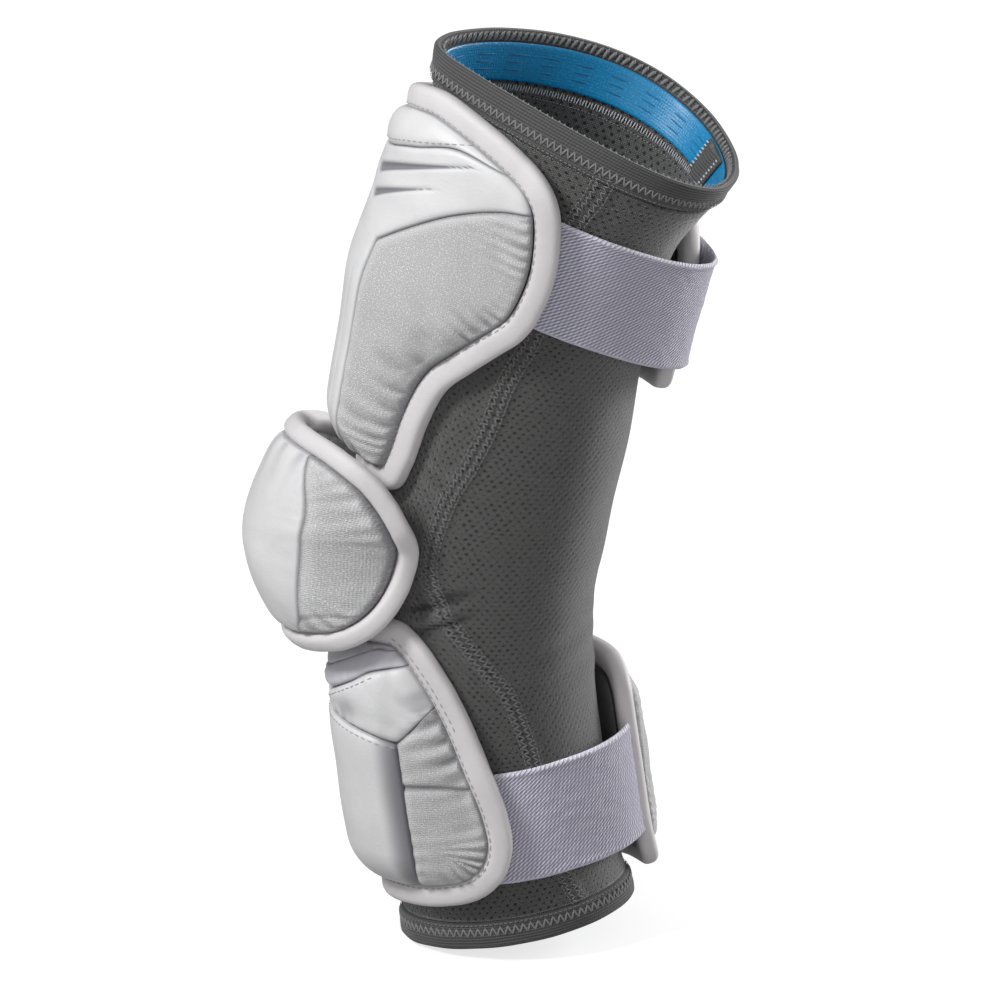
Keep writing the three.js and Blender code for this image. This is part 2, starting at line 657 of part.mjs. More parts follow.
addCapPanel('elbow_cap_shell', 'leather', [capSeamShare, 1 - capSeamShare], 9, 0.08);
addCapPanel('elbow_cap_side_far', 'textile', [1 - capSeamShare, 1], 4, 0.3);

// Forearm pad
const forearmOutline = outlineOf(forearmPadOutline, 0);
const forearmTop = (point) => {
  return padTop(point, forearmPadMiddle, forearmPadAcross, forearmPadThickness, forearmWingThickness);
};
addBinding('forearm_pad_binding', forearmOutline, 60, padFloor);
const forearm = cornersOf(forearmOutline, {
  plateNear: [49, 0.049],
  sideNear: [76, 0.059],
  crownNear: [76, 0.308],
  ribLowNear: [65, 0.362],
  ribMiddleNear: [57, 0.384],
  topNear: [47, 0.392],
  topFar: [-47, 0.390],
  ribMiddleFar: [-58, 0.384],
  ribLowFar: [-67, 0.370],
  crownFar: [-86, 0.335],
  wingTop: [-169, 0.286],
  wingBottom: [-174, 0.022],
  plateFar: [-49, 0.044],
});
const forearmEdge = (from, to) => stretch(forearmOutline, from, to, insetOfPanels);
const forearmPoint = (share) => inside(forearmOutline, share, insetOfPanels);
const forearmBackingEdge = (from, to) => stretch(forearmOutline, from, to, insetOfBacking);
const forearmWhole = patch(
  forearmBackingEdge(forearm.sideNear, forearm.wingBottom - 1),
  forearmBackingEdge(forearm.wingBottom, forearm.wingTop),
  forearmBackingEdge(forearm.topNear, forearm.wingTop),
  forearmBackingEdge(forearm.sideNear, forearm.topNear),
);
addBacking('forearm_pad_backing', forearmWhole, 22);

const plateRows = [[49, 0.130], [48.5, 0.200], [48.5, 0.256]];
const plateNear = lineThrough([forearmPoint(forearm.plateNear), ...places(plateRows)]);
const plateFar = lineThrough([forearmPoint(forearm.plateFar), ...places(mirrored(plateRows))]);
const plateCorner = plateRows[2];
const plateTopRows = [[39, 0.267], [22, 0.273], [0, 0.270], [-22, 0.273], [-39, 0.267]];
const plateTop = lineThrough(places([plateCorner, ...plateTopRows, [-plateCorner[0], plateCorner[1]]]));
const forearmPlate = patch(
  forearmEdge(forearm.plateNear, forearm.plateFar - 1),
  plateFar,
  plateTop,
  plateNear,
);
addPanel('forearm_pad_plate', 'leather', forearmPlate, {
  across: closerAtEnds(11),
  along: closerAtEnds(7),
  seamAcross: 0.05,
  seamAlong: 0.08,
  floorAt: panelFloor,
  topAt: forearmTop,
});

const crownCornerNear = lineThrough([...places([plateCorner]), forearmPoint(forearm.crownNear)]);
const crownCornerFar = lineThrough([...places(mirrored([plateCorner])), forearmPoint(forearm.crownFar)]);
const crownTopRows = [
  [41, 0.338], [31, 0.322], [11, 0.297], [0, 0.292], [-11, 0.297], [-31, 0.322], [-41, 0.338],
];
const crownTop = lineThrough([
  forearmPoint(forearm.ribLowNear), ...places(crownTopRows), forearmPoint(forearm.ribLowFar),
]);
const crownShares = [0.5];
const forearmCrown = patch(
  plateTop,
  joined([crownCornerFar, forearmEdge(forearm.crownFar, forearm.ribLowFar)], crownShares),
  crownTop,
  joined([crownCornerNear, forearmEdge(forearm.crownNear, forearm.ribLowNear)], crownShares),
);
addPanel('forearm_pad_crown', 'leather', forearmCrown, {
  across: evenSteps(12),
  along: evenSteps(4),
  seamAcross: 0.1,
  seamAlong: 0.25,
  floorAt: panelFloor,
  topAt: forearmTop,
});

const ribRows = [
  [42, 0.362], [34, 0.354], [20, 0.336], [0, 0.317], [-20, 0.336], [-34, 0.354], [-42, 0.362],
];
const ribMiddle = lineThrough([
  forearmPoint(forearm.ribMiddleNear), ...places(ribRows), forearmPoint(forearm.ribMiddleFar),
]);
const lowerRib = patch(
  crownTop,
  forearmEdge(forearm.ribMiddleFar, forearm.ribLowFar),
  ribMiddle,
  forearmEdge(forearm.ribLowNear, forearm.ribMiddleNear),
);
addPanel('forearm_pad_rib_lower', 'rib', lowerRib, {
  across: evenSteps(12),
  along: closerAtEnds(3),
  seamAcross: 0.1,
  seamAlong: 0.3,
  floorAt: panelFloor,
  topAt: forearmTop,
});
const upperRib = patch(
  ribMiddle,
  forearmEdge(forearm.topFar, forearm.ribMiddleFar),
  forearmEdge(forearm.topNear, forearm.topFar),
  forearmEdge(forearm.ribMiddleNear, forearm.topNear),
);
addPanel('forearm_pad_rib_upper', 'rib', upperRib, {
  across: evenSteps(12),
  along: closerAtEnds(3),
  seamAcross: 0.1,
  seamAlong: 0.3,
  floorAt: panelFloor,
  topAt: forearmTop,
});

const forearmSideNear = patch(
  forearmEdge(forearm.sideNear, forearm.plateNear),
  plateNear,
  (t) => crownCornerNear(1 - t),
  forearmEdge(forearm.sideNear, forearm.crownNear),
);
addPanel('forearm_pad_side_near', 'textile', forearmSideNear, {
  across: closerAtEnds(5),
  along: closerAtEnds(8),
  seamAcross: 0.16,
  seamAlong: 0.1,
  floorAt: panelFloor,
  topAt: forearmTop,
});
const forearmSideFar = patch(
  forearmEdge(forearm.plateFar, forearm.wingBottom),
  forearmEdge(forearm.wingBottom, forearm.wingTop),
  joined([crownCornerFar, forearmEdge(forearm.crownFar, forearm.wingTop)], [4 / 14]),
  plateFar,
);
addPanel('forearm_pad_side_far', 'textile', forearmSideFar, {
  across: evenSteps(14),
  along: closerAtEnds(8),
  seamAcross: 0.08,
  seamAlong: 0.1,
  floorAt: panelFloor,
  topAt: forearmTop,
});

// Straps: each is tucked under the near wing and crosses the front. The upper one lands on the far
// wing, and the lower one is sewn to the far wing's edge.
function addStrap(name, course, landing, steps) {
  const rows = table(strapColumns, course);
  const first = rows[0].angle;
  const last = rows[rows.length - 1].angle;
  const span = 0.01;
  addSlab(name, 'elastic', evenSteps(steps), evenSteps(2), (u, v, face) => {
    const angle = THREE.MathUtils.lerp(first, last, u);
    const middle = smooth(rows, 'angle', 'at', angle);
    const rise = Math.max(smooth(rows, 'angle', 'rise', angle), 0);
    const stand = clearance + rise * (landing - clearance);
    const moved = onSleeve(angle, middle + span, stand);
    const perShare = moved.distanceTo(onSleeve(angle, middle, stand)) / span;
    const at = middle + (v - 0.5) * strapWidth / perShare;
    return onSleeve(angle, at, face === 'under' ? stand : stand + strapThickness);
  });
}
const upperLanding = padSeat + wingLift + upperWingThickness + clearance;
const lowerLanding = padSeat + wingLift + (bindingThickness - strapThickness) / 2;
addStrap('upper_strap', upperStrapCourse, upperLanding, 22);
addStrap('lower_strap', lowerStrapCourse, lowerLanding, 18);

export default group;
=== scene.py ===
"""Dresses the frame of a lacrosse arm pad: knit sleeve, sewn pads, elbow cap, straps and stitching."""

import math

import bpy
import numpy as np
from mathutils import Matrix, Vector
from mathutils.bvhtree import BVHTree


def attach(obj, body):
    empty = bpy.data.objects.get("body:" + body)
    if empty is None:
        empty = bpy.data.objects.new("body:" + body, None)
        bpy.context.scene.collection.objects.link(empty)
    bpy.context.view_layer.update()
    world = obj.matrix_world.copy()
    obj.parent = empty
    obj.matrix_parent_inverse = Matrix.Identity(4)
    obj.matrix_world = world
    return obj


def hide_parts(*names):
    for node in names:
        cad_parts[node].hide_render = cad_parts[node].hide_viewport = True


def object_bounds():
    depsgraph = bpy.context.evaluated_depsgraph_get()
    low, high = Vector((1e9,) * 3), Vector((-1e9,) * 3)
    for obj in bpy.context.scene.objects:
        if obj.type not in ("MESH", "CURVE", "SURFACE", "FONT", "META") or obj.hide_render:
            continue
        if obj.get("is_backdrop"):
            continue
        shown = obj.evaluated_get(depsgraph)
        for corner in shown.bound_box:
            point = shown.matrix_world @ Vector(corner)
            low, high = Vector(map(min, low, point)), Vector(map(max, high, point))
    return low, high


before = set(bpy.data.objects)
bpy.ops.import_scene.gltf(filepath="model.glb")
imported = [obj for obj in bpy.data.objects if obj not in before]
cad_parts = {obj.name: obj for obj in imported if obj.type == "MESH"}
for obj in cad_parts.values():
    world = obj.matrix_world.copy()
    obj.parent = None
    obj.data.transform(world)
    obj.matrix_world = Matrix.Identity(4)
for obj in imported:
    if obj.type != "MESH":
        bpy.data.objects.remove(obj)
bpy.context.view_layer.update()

bl_info = {
    "name": "Lacrosse Arm Pad",
    "version": (1, 0, 0),
    "blender": (4, 5, 0),
    "location": "View3D > Sidebar > Arm Pad",
    "description": "Knit, leather, cloth and stitching for a padded arm sleeve",
    "category": "Object",
}

MM = 0.001

# Sleeve sizes in millimetres, as in the frame
SLEEVE_LENGTH = 322
ELBOW_SHARE = 0.437
WIDTHS = (90.4, 92.7, 124.4)
DEPTHS = (76, 82, 100)
WRIST_LEAN, TOP_LEAN, TOP_ROLL, TOP_BOW = 12.9, 39.1, 5.0, 5.7
ARC_PER_DEGREE = math.pi * (WIDTHS[1] + DEPTHS[1]) / 720
CLEARANCE = 0.35
SEAM_GAP = 0.05
TUCK = 0.9
PAD_SEAT = 0.75
PANEL_SEAT = 0.85
BACKING = 2.5
NEAR_WING = 8.5
UPPER_WING = 8.5
FOREARM_WING = 13
BINDING_WIDTH, BINDING_THICKNESS = 10, 7.5
CAP_BINDING_WIDTH = 8
UPPER_PAD, FOREARM_PAD = 22, 22
WING_LIFT = 6
CAP_WALL, CAP_LIFT, CAP_DOME, CAP_MIDDLE_LIFT = 10, 25.5, 28, 10
CAP_STEEPNESS = (0.9, 1.3)
CAP_SEAM = 0.2
STRAP_WIDTH, STRAP_THICKNESS = 45, 1.8
HEM_RAMP = (0.885, 0.945)
HEM_PROUD, HEM_THICKNESS = 0.8, 3.2
TOP_END, BOTTOM_END = 1 + 1.9 / SLEEVE_LENGTH, -2.2 / SLEEVE_LENGTH
TOP_HEM, BOTTOM_HEM = 1 - 10.5 / SLEEVE_LENGTH, 8 / SLEEVE_LENGTH
HEM_INNER = HEM_PROUD - HEM_THICKNESS
PANEL_INSET = BINDING_WIDTH - TUCK
BACKING_INSET = BINDING_WIDTH + 2 * CLEARANCE

# Samples along rings and across patches, and frames of settling
RING_SAMPLES, BINDING_SAMPLES = 500, 420
PATCH_SAMPLES, CAP_SPOTS = 41, 161
SETTLE_FRAMES = 20

SECTION_COLUMNS = ("at", "wrist_ahead", "top_ahead", "wide", "deep", "tilt", "egg", "roll", "bow")
SECTION_ROWS = (
    (0.000, 1.000, 0.000, 1.000, 1.000, 10.1, 0.00, 0.00, -0.18),
    (0.040, 0.853, 0.000, 0.952, 0.980, 9.6, 0.00, 0.00, -0.09),
    (0.158, 0.543, 0.000, 0.894, 0.972, 7.0, 0.00, 0.00, 0.00),
    (0.283, 0.186, 0.000, 0.879, 0.976, 3.3, 0.00, 0.00, 0.00),
    (0.381, -0.116, 0.000, 0.934, 0.985, 0.0, 0.00, 0.00, 0.00),
    (0.453, 0.000, -0.020, 0.991, 0.994, -3.7, 0.00, 0.00, 0.00),
    (0.532, 0.000, 0.102, 0.946, 0.976, -6.8, 0.00, 0.00, 0.00),
    (0.610, 0.000, 0.238, 0.912, 0.960, -8.0, 0.02, 0.00, 0.00),
    (0.729, 0.000, 0.379, 0.871, 0.942, -13.4, 0.06, 0.00, 0.00),
    (0.825, 0.000, 0.524, 0.869, 0.943, -17.5, 0.12, 0.11, 0.00),
    (0.900, 0.000, 0.665, 0.884, 0.961, -21.2, 0.22, 0.34, 0.26),
    (0.954, 0.000, 0.852, 0.943, 0.985, -22.0, 0.32, 0.68, 0.61),
    (1.000, 0.000, 1.000, 1.000, 1.000, -23.1, 0.40, 1.00, 1.00),
)
SECTIONS = dict(zip(SECTION_COLUMNS, np.array(SECTION_ROWS).T))

# A place on the sleeve is an angle in degrees, counted round from the back of the arm, and at, the
# share of the sleeve's length from the wrist. Outlines run counter-clockwise, the cap's with a lift
UPPER_OUTLINE = (
    (0, 0.534), (24, 0.534), (41, 0.542), (46.5, 0.575),
    (50, 0.620), (58, 0.668), (69.5, 0.700), (81, 0.732),
    (91, 0.765), (96.5, 0.810), (98, 0.870), (93.5, 0.920),
    (85, 0.947), (71.5, 0.963), (53, 0.974), (32, 0.978),
    (14, 0.970), (-4, 0.958), (-28, 0.948), (-53, 0.945),
    (-80, 0.944), (-107, 0.938), (-134, 0.925), (-158, 0.903),
    (-171, 0.868), (-177, 0.810), (-179.5, 0.740), (-174, 0.684),
    (-150, 0.670), (-116, 0.667), (-84, 0.666), (-64, 0.656),
    (-52, 0.620), (-46.5, 0.575), (-41, 0.542), (-24, 0.534),
)
CAP_OUTLINE = (
    (0, 0.347, 0.86), (20, 0.353, 0.84), (31, 0.360, 0.80), (42, 0.370, 0.68),
    (51, 0.389, 0.44), (57, 0.415, 0.16), (60.5, 0.450, -0.085), (61.5, 0.482, -0.085),
    (59, 0.512, 0.20), (52, 0.546, 0.43), (46, 0.566, 0.60), (39, 0.580, 0.76),
    (28, 0.591, 0.90), (14, 0.592, 0.98), (0, 0.586, 1.00), (-14, 0.576, 0.98),
    (-28, 0.563, 0.90), (-39, 0.549, 0.76), (-46, 0.535, 0.60), (-53, 0.512, 0.40),
    (-59, 0.480, -0.02), (-61.5, 0.452, -0.085), (-60.5, 0.422, -0.085), (-57, 0.390, 0.16),
    (-51, 0.364, 0.44), (-42, 0.348, 0.68), (-31, 0.341, 0.80), (-18, 0.341, 0.84),
)
FOREARM_OUTLINE = (
    (0, 0.044), (30, 0.047), (57, 0.050), (76, 0.059),
    (88.5, 0.083), (94, 0.120), (93, 0.165), (86.5, 0.228),
    (78, 0.293), (70.5, 0.338), (61, 0.375), (50, 0.393),
    (24, 0.388), (0, 0.382), (-24, 0.388), (-50, 0.390),
    (-66, 0.372), (-84, 0.338), (-110, 0.316), (-140, 0.304),
    (-164, 0.291), (-178, 0.262), (-182, 0.220), (-182, 0.140),
    (-181, 0.060), (-170, 0.014), (-142, 0.014), (-108, 0.024),
    (-80, 0.035), (-56, 0.042), (-30, 0.045),
)

# Share of each pad's full thickness, along the sleeve and across it
UPPER_MIDDLE = (
    (0.530, 0.90), (0.600, 1.06), (0.700, 1.03), (0.772, 0.98), (0.795, 0.85), (0.820, 0.70),
    (0.842, 0.58), (0.862, 0.52), (0.885, 0.40), (0.905, 0.40), (0.945, 0.25), (0.980, 0.05),
)
FOREARM_MIDDLE = (
    (0.044, 0.10), (0.070, 0.45), (0.097, 0.72), (0.145, 0.92), (0.205, 1.00), (0.262, 1.02),
    (0.280, 0.94), (0.303, 0.98), (0.320, 0.90), (0.345, 0.70), (0.370, 0.50),
)
UPPER_ACROSS = (
    (0, 1.00), (20, 0.94), (38, 0.66), (57, 0.38), (75, 0.16), (90, 0.00), (180, 0.00),
)
FOREARM_ACROSS = (
    (0, 1.00), (40, 0.97), (44, 0.88), (49, 0.62), (60, 0.45), (75, 0.18), (90, 0.00), (180, 0.00),
)

# Straps: angle, at of the strap's middle, and how far it has risen to the far wing
UPPER_COURSE = (
    (88, 0.842, 0.00), (110, 0.836, 0.00), (130, 0.829, 0.05), (148, 0.821, 0.29),
    (163, 0.814, 0.64), (175, 0.809, 0.92), (184, 0.806, 1.03), (200, 0.804, 1.02),
    (216, 0.803, 1.00), (232, 0.802, 0.96),
)
LOWER_COURSE = (
    (84.5, 0.139, 0.00), (108, 0.139, 0.00), (128, 0.140, 0.08), (146, 0.141, 0.36),
    (162, 0.143, 0.72), (177.2, 0.144, 1.00),
)

# Sleeve seams: angle and at
FLATLOCK = (
    (100.5, 0.975), (100, 0.942), (98.5, 0.920), (95.5, 0.830), (92, 0.755), (84, 0.695),
    (79, 0.640), (73, 0.588), (67.5, 0.548), (64.5, 0.505), (64, 0.465), (67, 0.432),
    (74, 0.400), (81, 0.378), (91.5, 0.340), (100.5, 0.308), (104, 0.280), (108, 0.242),
    (110.5, 0.205), (115, 0.130), (120.5, 0.058), (124.5, 0.030),
)
PATCH_TOP = ((36, 0.529), (48, 0.533), (57, 0.537), (65, 0.541))
PATCH_BOTTOM = ((44, 0.384), (55, 0.386), (63, 0.388), (72, 0.391))
FLARE_SEAM = ((102, 0.940), (117, 0.950), (144, 0.957), (180, 0.957), (230, 0.953), (262, 0.945))


def smooth(keys, values, where):
    """A smooth value between the rows of a table."""
    slopes = np.gradient(values, keys)
    where = np.asarray(where, float)
    index = np.clip(np.searchsorted(keys, where) - 1, 0, len(keys) - 2)
    step = keys[index + 1] - keys[index]
    t = (where - keys[index]) / step
    blend = t * t * (3 - 2 * t)
    start, end = values[index], values[index + 1]
    bend = slopes[index] * step * t * (1 - t) ** 2 - slopes[index + 1] * step * t * t * (1 - t)
    return start + (end - start) * blend + bend


def from_rows(rows, where):
    keys, values = np.array(rows, float).T
    return smooth(keys, values, where)


def smoothstep(value, low, high):
    t = np.clip((value - low) / (high - low), 0, 1)
    return t * t * (3 - 2 * t)


def lerp(low, high, t):
    return low + (high - low) * t


def steps_of(points):
    """The distances between points that follow one another."""
    return np.linalg.norm(np.diff(points, axis=0), axis=1)


def run_of(points):
    """How far along a line of points each one lies."""
    return np.concatenate([[0], np.cumsum(steps_of(points))])


def along_arm(at, sizes):
    """A size between its values at the wrist, the elbow and the top."""
    wrist, elbow, top = sizes
    low = lerp(wrist, elbow, at / ELBOW_SHARE)
    high = lerp(elbow, top, (at - ELBOW_SHARE) / (1 - ELBOW_SHARE))
    return np.where(at < ELBOW_SHARE, low, high)


def on_sleeve(angle, at, height):
    """Points in metres that lie a height in millimetres above the sleeve's outer face."""
    angle, at, height = np.broadcast_arrays(*(np.asarray(x, float) for x in (angle, at, height)))
    turn = np.radians(angle)
    value = {name: smooth(SECTIONS["at"], SECTIONS[name], at) for name in SECTION_COLUMNS[1:]}
    half_width = value["wide"] * along_arm(at, WIDTHS) / 2
    half_depth = value["deep"] * along_arm(at, DEPTHS) / 2
    egg, tilt = value["egg"], np.radians(value["tilt"])
    squeeze = 1 - egg * np.cos(turn)
    along_u = half_width * np.sin(turn)
    along_v = -half_depth * (squeeze * np.cos(turn) + egg * np.sin(turn) ** 2)
    reach = np.hypot(along_u, along_v)
    ahead = -half_width * np.cos(turn) + height * along_v / reach
    aside = -half_depth * squeeze * np.sin(turn) - height * along_u / reach
    lean = WRIST_LEAN * value["wrist_ahead"] + TOP_LEAN * value["top_ahead"]
    roll = TOP_ROLL * value["roll"] * squeeze * np.sin(turn)
    bow = TOP_BOW * value["bow"] * np.sin(turn) ** 2
    middle = SLEEVE_LENGTH * (at - ELBOW_SHARE)
    x = lean + ahead * np.cos(tilt)
    z = middle + ahead * np.sin(tilt) - roll + bow
    return np.stack([x, aside, z], axis=-1) * MM


def flat(rows):
    """Rows of angle and at, laid flat in millimetres."""
    rows = np.array(rows, float)
    points = np.zeros((len(rows), 3))
    points[:, 0] = rows[:, 0] * ARC_PER_DEGREE
    points[:, 1] = rows[:, 1] * SLEEVE_LENGTH
    if rows.shape[1] > 2:
        points[:, 2] = rows[:, 2]
    return points


def laid(angle, at):
    """A grid of flat places at angles across and shares along."""
    return flat([(a, s) for s in at for a in angle]).reshape(len(at), len(angle), 3)


def angle_of(points):
    return points[..., 0] / ARC_PER_DEGREE


def at_of(points):
    return points[..., 1] / SLEEVE_LENGTH


def on_flat(points, height):
    return on_sleeve(angle_of(points), at_of(points), height)


def curved(points, closed=False, samples=40):
    """A centripetal curve through points, as many close points."""
    points = np.asarray(points, float)
    count = len(points)
    run = []
    for i in range(count if closed else count - 1):
        p1, p2 = points[i], points[(i + 1) % count]
        p0 = points[i - 1] if closed or i > 0 else 2 * points[0] - points[1]
        p3 = points[(i + 2) % count] if closed or i < count - 2 else 2 * points[-1] - points[-2]
        steps = [np.sqrt(np.linalg.norm(b - a)) for a, b in ((p0, p1), (p1, p2), (p2, p3))]
        d0, d1, d2 = steps
        start = ((p1 - p0) / d0 - (p2 - p0) / (d0 + d1) + (p2 - p1) / d1) * d1
        end = ((p2 - p1) / d1 - (p3 - p1) / (d1 + d2) + (p3 - p2) / d2) * d1
        t = np.linspace(0, 1, samples, endpoint=False)[:, None]
        curve = p1 + start * t + (3 * (p2 - p1) - 2 * start - end) * t**2
        run.append(curve + (2 * (p1 - p2) + start + end) * t**3)
    run.append(points[:1] if closed else points[-1:])
    return np.concatenate(run)


class Line:
    """A curve that is read by the share of its length."""

    def __init__(self, points):
        self.points = np.asarray(points, float)
        self.run = run_of(self.points)
        self.run /= self.run[-1]

    def __call__(self, share):
        share = np.asarray(share, float)
        return np.stack([np.interp(share, self.run, column) for column in self.points.T], axis=-1)


class Outline(Line):
    """A closed outline that can be moved inwards in the flat."""

    def __init__(self, rows, lift=1):
        places = flat(rows)
        places[:, 2] *= lift
        super().__init__(curved(places, closed=True))

    def inside(self, share, distance):
        share = np.asarray(share, float)
        small = 1e-4
        ahead = self((share + small) % 1) - self((share - small) % 1)
        reach = np.hypot(ahead[..., 0], ahead[..., 1])
        point = self(share % 1)
        point[..., 0] -= distance * ahead[..., 1] / reach
        point[..., 1] += distance * ahead[..., 0] / reach
        return point

    def near(self, angle, at):
        target = flat([(angle, at)])[0]
        gap = np.hypot(*(self.points - target)[:, :2].T)
        return float(self.run[np.argmin(gap[:-1])])

    def stretch(self, start, end, distance):
        return lambda t: self.inside(lerp(start, end, np.asarray(t, float)), distance)


def through(rows):
    return Line(curved(rows))


def joined(edges, shares):
    """Edges that follow one another, each with its share of the way."""
    bounds = [0, *shares, 1]

    def run(t):
        t = np.asarray(t, float)
        out = np.zeros(t.shape + (3,))
        for edge, low, high in zip(edges, bounds, bounds[1:]):
            here = (t >= low) & (t <= high)
            out[here] = edge((t[here] - low) / (high - low))
        return out

    return run


def backwards(edge):
    return lambda t: edge(1 - np.asarray(t, float))


def patch(bottom, right, top, left):
    """A grid of places between four edges that meet at their ends."""

    def place(u, v):
        u, v = np.asarray(u, float), np.asarray(v, float)
        low, high, near, far = bottom(u)[None], top(u)[None], left(v)[:, None], right(v)[:, None]
        across, along = u[None, :, None], v[:, None, None]
        grid = low * (1 - along) + high * along + near * (1 - across) + far * across
        corner = [edge(np.array([0.0, 1.0])) for edge in (bottom, top)]
        for level, share in zip(corner, (1 - along, along)):
            grid = grid - share * (level[0] * (1 - across) + level[1] * across)
        return grid

    return place


def pad_lift(points):
    """How far a pad stands off for its near strap, its far wing and the top hem."""
    near = smoothstep(angle_of(points), 72, 84) * STRAP_THICKNESS
    far = smoothstep(-angle_of(points), 84, 155) * WING_LIFT
    hem = smoothstep(at_of(points), *HEM_RAMP) * HEM_PROUD
    return near + far + hem


def pad_floor(points):
    return PAD_SEAT + pad_lift(points)


def panel_floor(points):
    return pad_floor(points) + BACKING + PANEL_SEAT


def pad_top(points, middle, across, thickness, far_wing):
    """A pad's height: thickest along its middle, and down to a wing on each side."""
    angle = angle_of(points)
    wing = lerp(NEAR_WING, far_wing, smoothstep(-angle, 40, 110))
    rise = from_rows(middle, at_of(points)) * from_rows(across, np.abs(angle))
    return pad_floor(points) + wing + (thickness - NEAR_WING) * np.maximum(rise, 0)


def binding_shoulder(points):
    """The height at which a panel meets its binding."""
    return pad_floor(points) + BINDING_THICKNESS - 1.4


def upper_top(points):
    return pad_top(points, UPPER_MIDDLE, UPPER_ACROSS, UPPER_PAD, UPPER_WING)


def forearm_top(points):
    return pad_top(points, FOREARM_MIDDLE, FOREARM_ACROSS, FOREARM_PAD, FOREARM_WING)


CAP_RIM = Outline(CAP_OUTLINE, CAP_LIFT)
CAP_MIDDLE = flat([(0, 0.466)])[0]


def cap_rays():
    """The bearing, distance and height of points on the cap's rim, seen from its middle."""
    points = CAP_RIM(np.linspace(0, 1, 720, endpoint=False))
    offset = points - CAP_MIDDLE
    bearing = np.arctan2(offset[:, 0], -offset[:, 1])
    order = np.argsort(bearing)
    reach = np.hypot(offset[:, 0], offset[:, 1])
    return bearing[order], reach[order], points[order, 2]


CAP_RAYS = cap_rays()


def cap_top(points):
    """The cap's height: a dome that comes down to its rim."""
    offset = points - CAP_MIDDLE
    bearing = np.arctan2(offset[..., 0], -offset[..., 1])
    rim_bearing, rim_reach, rim_lift = CAP_RAYS
    reach = np.interp(bearing, rim_bearing, rim_reach, period=2 * math.pi)
    rim = np.interp(bearing, rim_bearing, rim_lift, period=2 * math.pi)
    out = np.minimum(np.hypot(offset[..., 0], offset[..., 1]) / reach, 1)
    lift = lerp(CAP_MIDDLE_LIFT, rim, out**2)
    steep = lerp(*CAP_STEEPNESS, np.sin(bearing) ** 2)
    return PAD_SEAT + lift + BINDING_THICKNESS + CAP_DOME * (1 - out**2) ** steep


def rumple(points, length, seed):
    """Soft unevenness between -1 and 1, with waves about a length long, the same on every run."""
    draw = np.random.default_rng(seed)
    total = 0
    for _ in range(7):
        heading, phase = draw.uniform(0, 2 * math.pi, 2)
        wave = 2 * math.pi / (length * draw.uniform(0.7, 1.6))
        run = points[..., 0] * math.cos(heading) + points[..., 1] * math.sin(heading)
        total = total + np.sin(run * wave + phase)
    return total / 4


def gathers(along, depth, pitch, reach, seed):
    """Puckers that stand square to a seam and die out with depth from it."""
    draw = np.random.default_rng(seed)
    drift = sum(np.sin(along / pitch * draw.uniform(0.2, 0.8) + draw.uniform(0, 6)) for _ in range(3))
    wave = np.sin(2 * math.pi * along / pitch + 1.3 * drift)
    size = 0.55 + 0.45 * np.sin(along / pitch * 0.7 + draw.uniform(0, 6))
    return wave * size * np.exp(-depth / reach) * smoothstep(depth, 0, 1.2)


def groove(points, rows, width, depth, taper=1.0):
    """A groove along a line of angle and at: taper 0 keeps its width, 1 brings its end to a point."""
    line = through(flat(rows))
    gap, share = nearest(points, line(np.linspace(0, 1, 90)))
    size = width * (1 - taper * share)
    depth = depth * (1 - 0.6 * taper * share)
    return -depth * np.exp(-((gap / np.maximum(size, 0.2)) ** 2)) * (size > 0.2)


def nearest(points, border):
    """How far points lie from a border in the flat, and the share of it that is nearest."""
    flat_points = points.reshape(-1, points.shape[-1])[:, :2]
    start, step = border[:-1, :2], np.diff(border[:, :2], axis=0)
    reach = np.maximum((step**2).sum(1), 1e-9)
    gaps, shares = [], []
    for chunk in np.array_split(flat_points, max(1, len(flat_points) // 4000)):
        offset = chunk[:, None] - start[None]
        t = np.clip((offset * step).sum(2) / reach, 0, 1)
        gap = np.hypot(*np.moveaxis(offset - t[..., None] * step, 2, 0))
        best = np.argmin(gap, axis=1)
        row = np.arange(len(chunk))
        gaps.append(gap[row, best])
        shares.append((best + t[row, best]) / len(start))
    shape = points.shape[:-1]
    return np.concatenate(gaps).reshape(shape), np.concatenate(shares).reshape(shape)


# Meshes
def new_object(name, data):
    thing = bpy.data.objects.new(name, data)
    bpy.context.scene.collection.objects.link(thing)
    return thing


def mesh_object(name, points, quads, material, uv=None, marks=None):
    """A closed mesh object with smooth faces that point outwards."""
    points, quads = np.asarray(points, float).reshape(-1, 3), np.asarray(quads, int)
    a, b, c = (points[quads[:, k]] for k in (0, 1, 2))
    d = points[quads[:, 3]]
    volume = (np.einsum("ij,ij->i", a, np.cross(b, c)) + np.einsum("ij,ij->i", a, np.cross(c, d))).sum()
    if volume < 0:
        quads = quads[:, ::-1]
    mesh = bpy.data.meshes.new(name)
    mesh.vertices.add(len(points))
    mesh.vertices.foreach_set("co", points.ravel())
    mesh.loops.add(quads.size)
    mesh.loops.foreach_set("vertex_index", quads.ravel())
    mesh.polygons.add(len(quads))
    mesh.polygons.foreach_set("loop_start", np.arange(len(quads)) * 4)
    mesh.update(calc_edges=True)
    mesh.polygons.foreach_set("use_smooth", np.ones(len(quads), bool))
    if uv is not None:
        layer = mesh.uv_layers.new(name="Cloth")
        layer.data.foreach_set("uv", np.asarray(uv, float).reshape(-1, 2)[quads.ravel()].ravel())
    for mark, values in (marks or {}).items():
        layer = mesh.attributes.new(mark, "FLOAT", "POINT")
        layer.data.foreach_set("value", np.asarray(values, float).ravel())
    mesh.validate()
    thing = new_object(name, mesh)
    mesh.materials.append(material)
    return thing


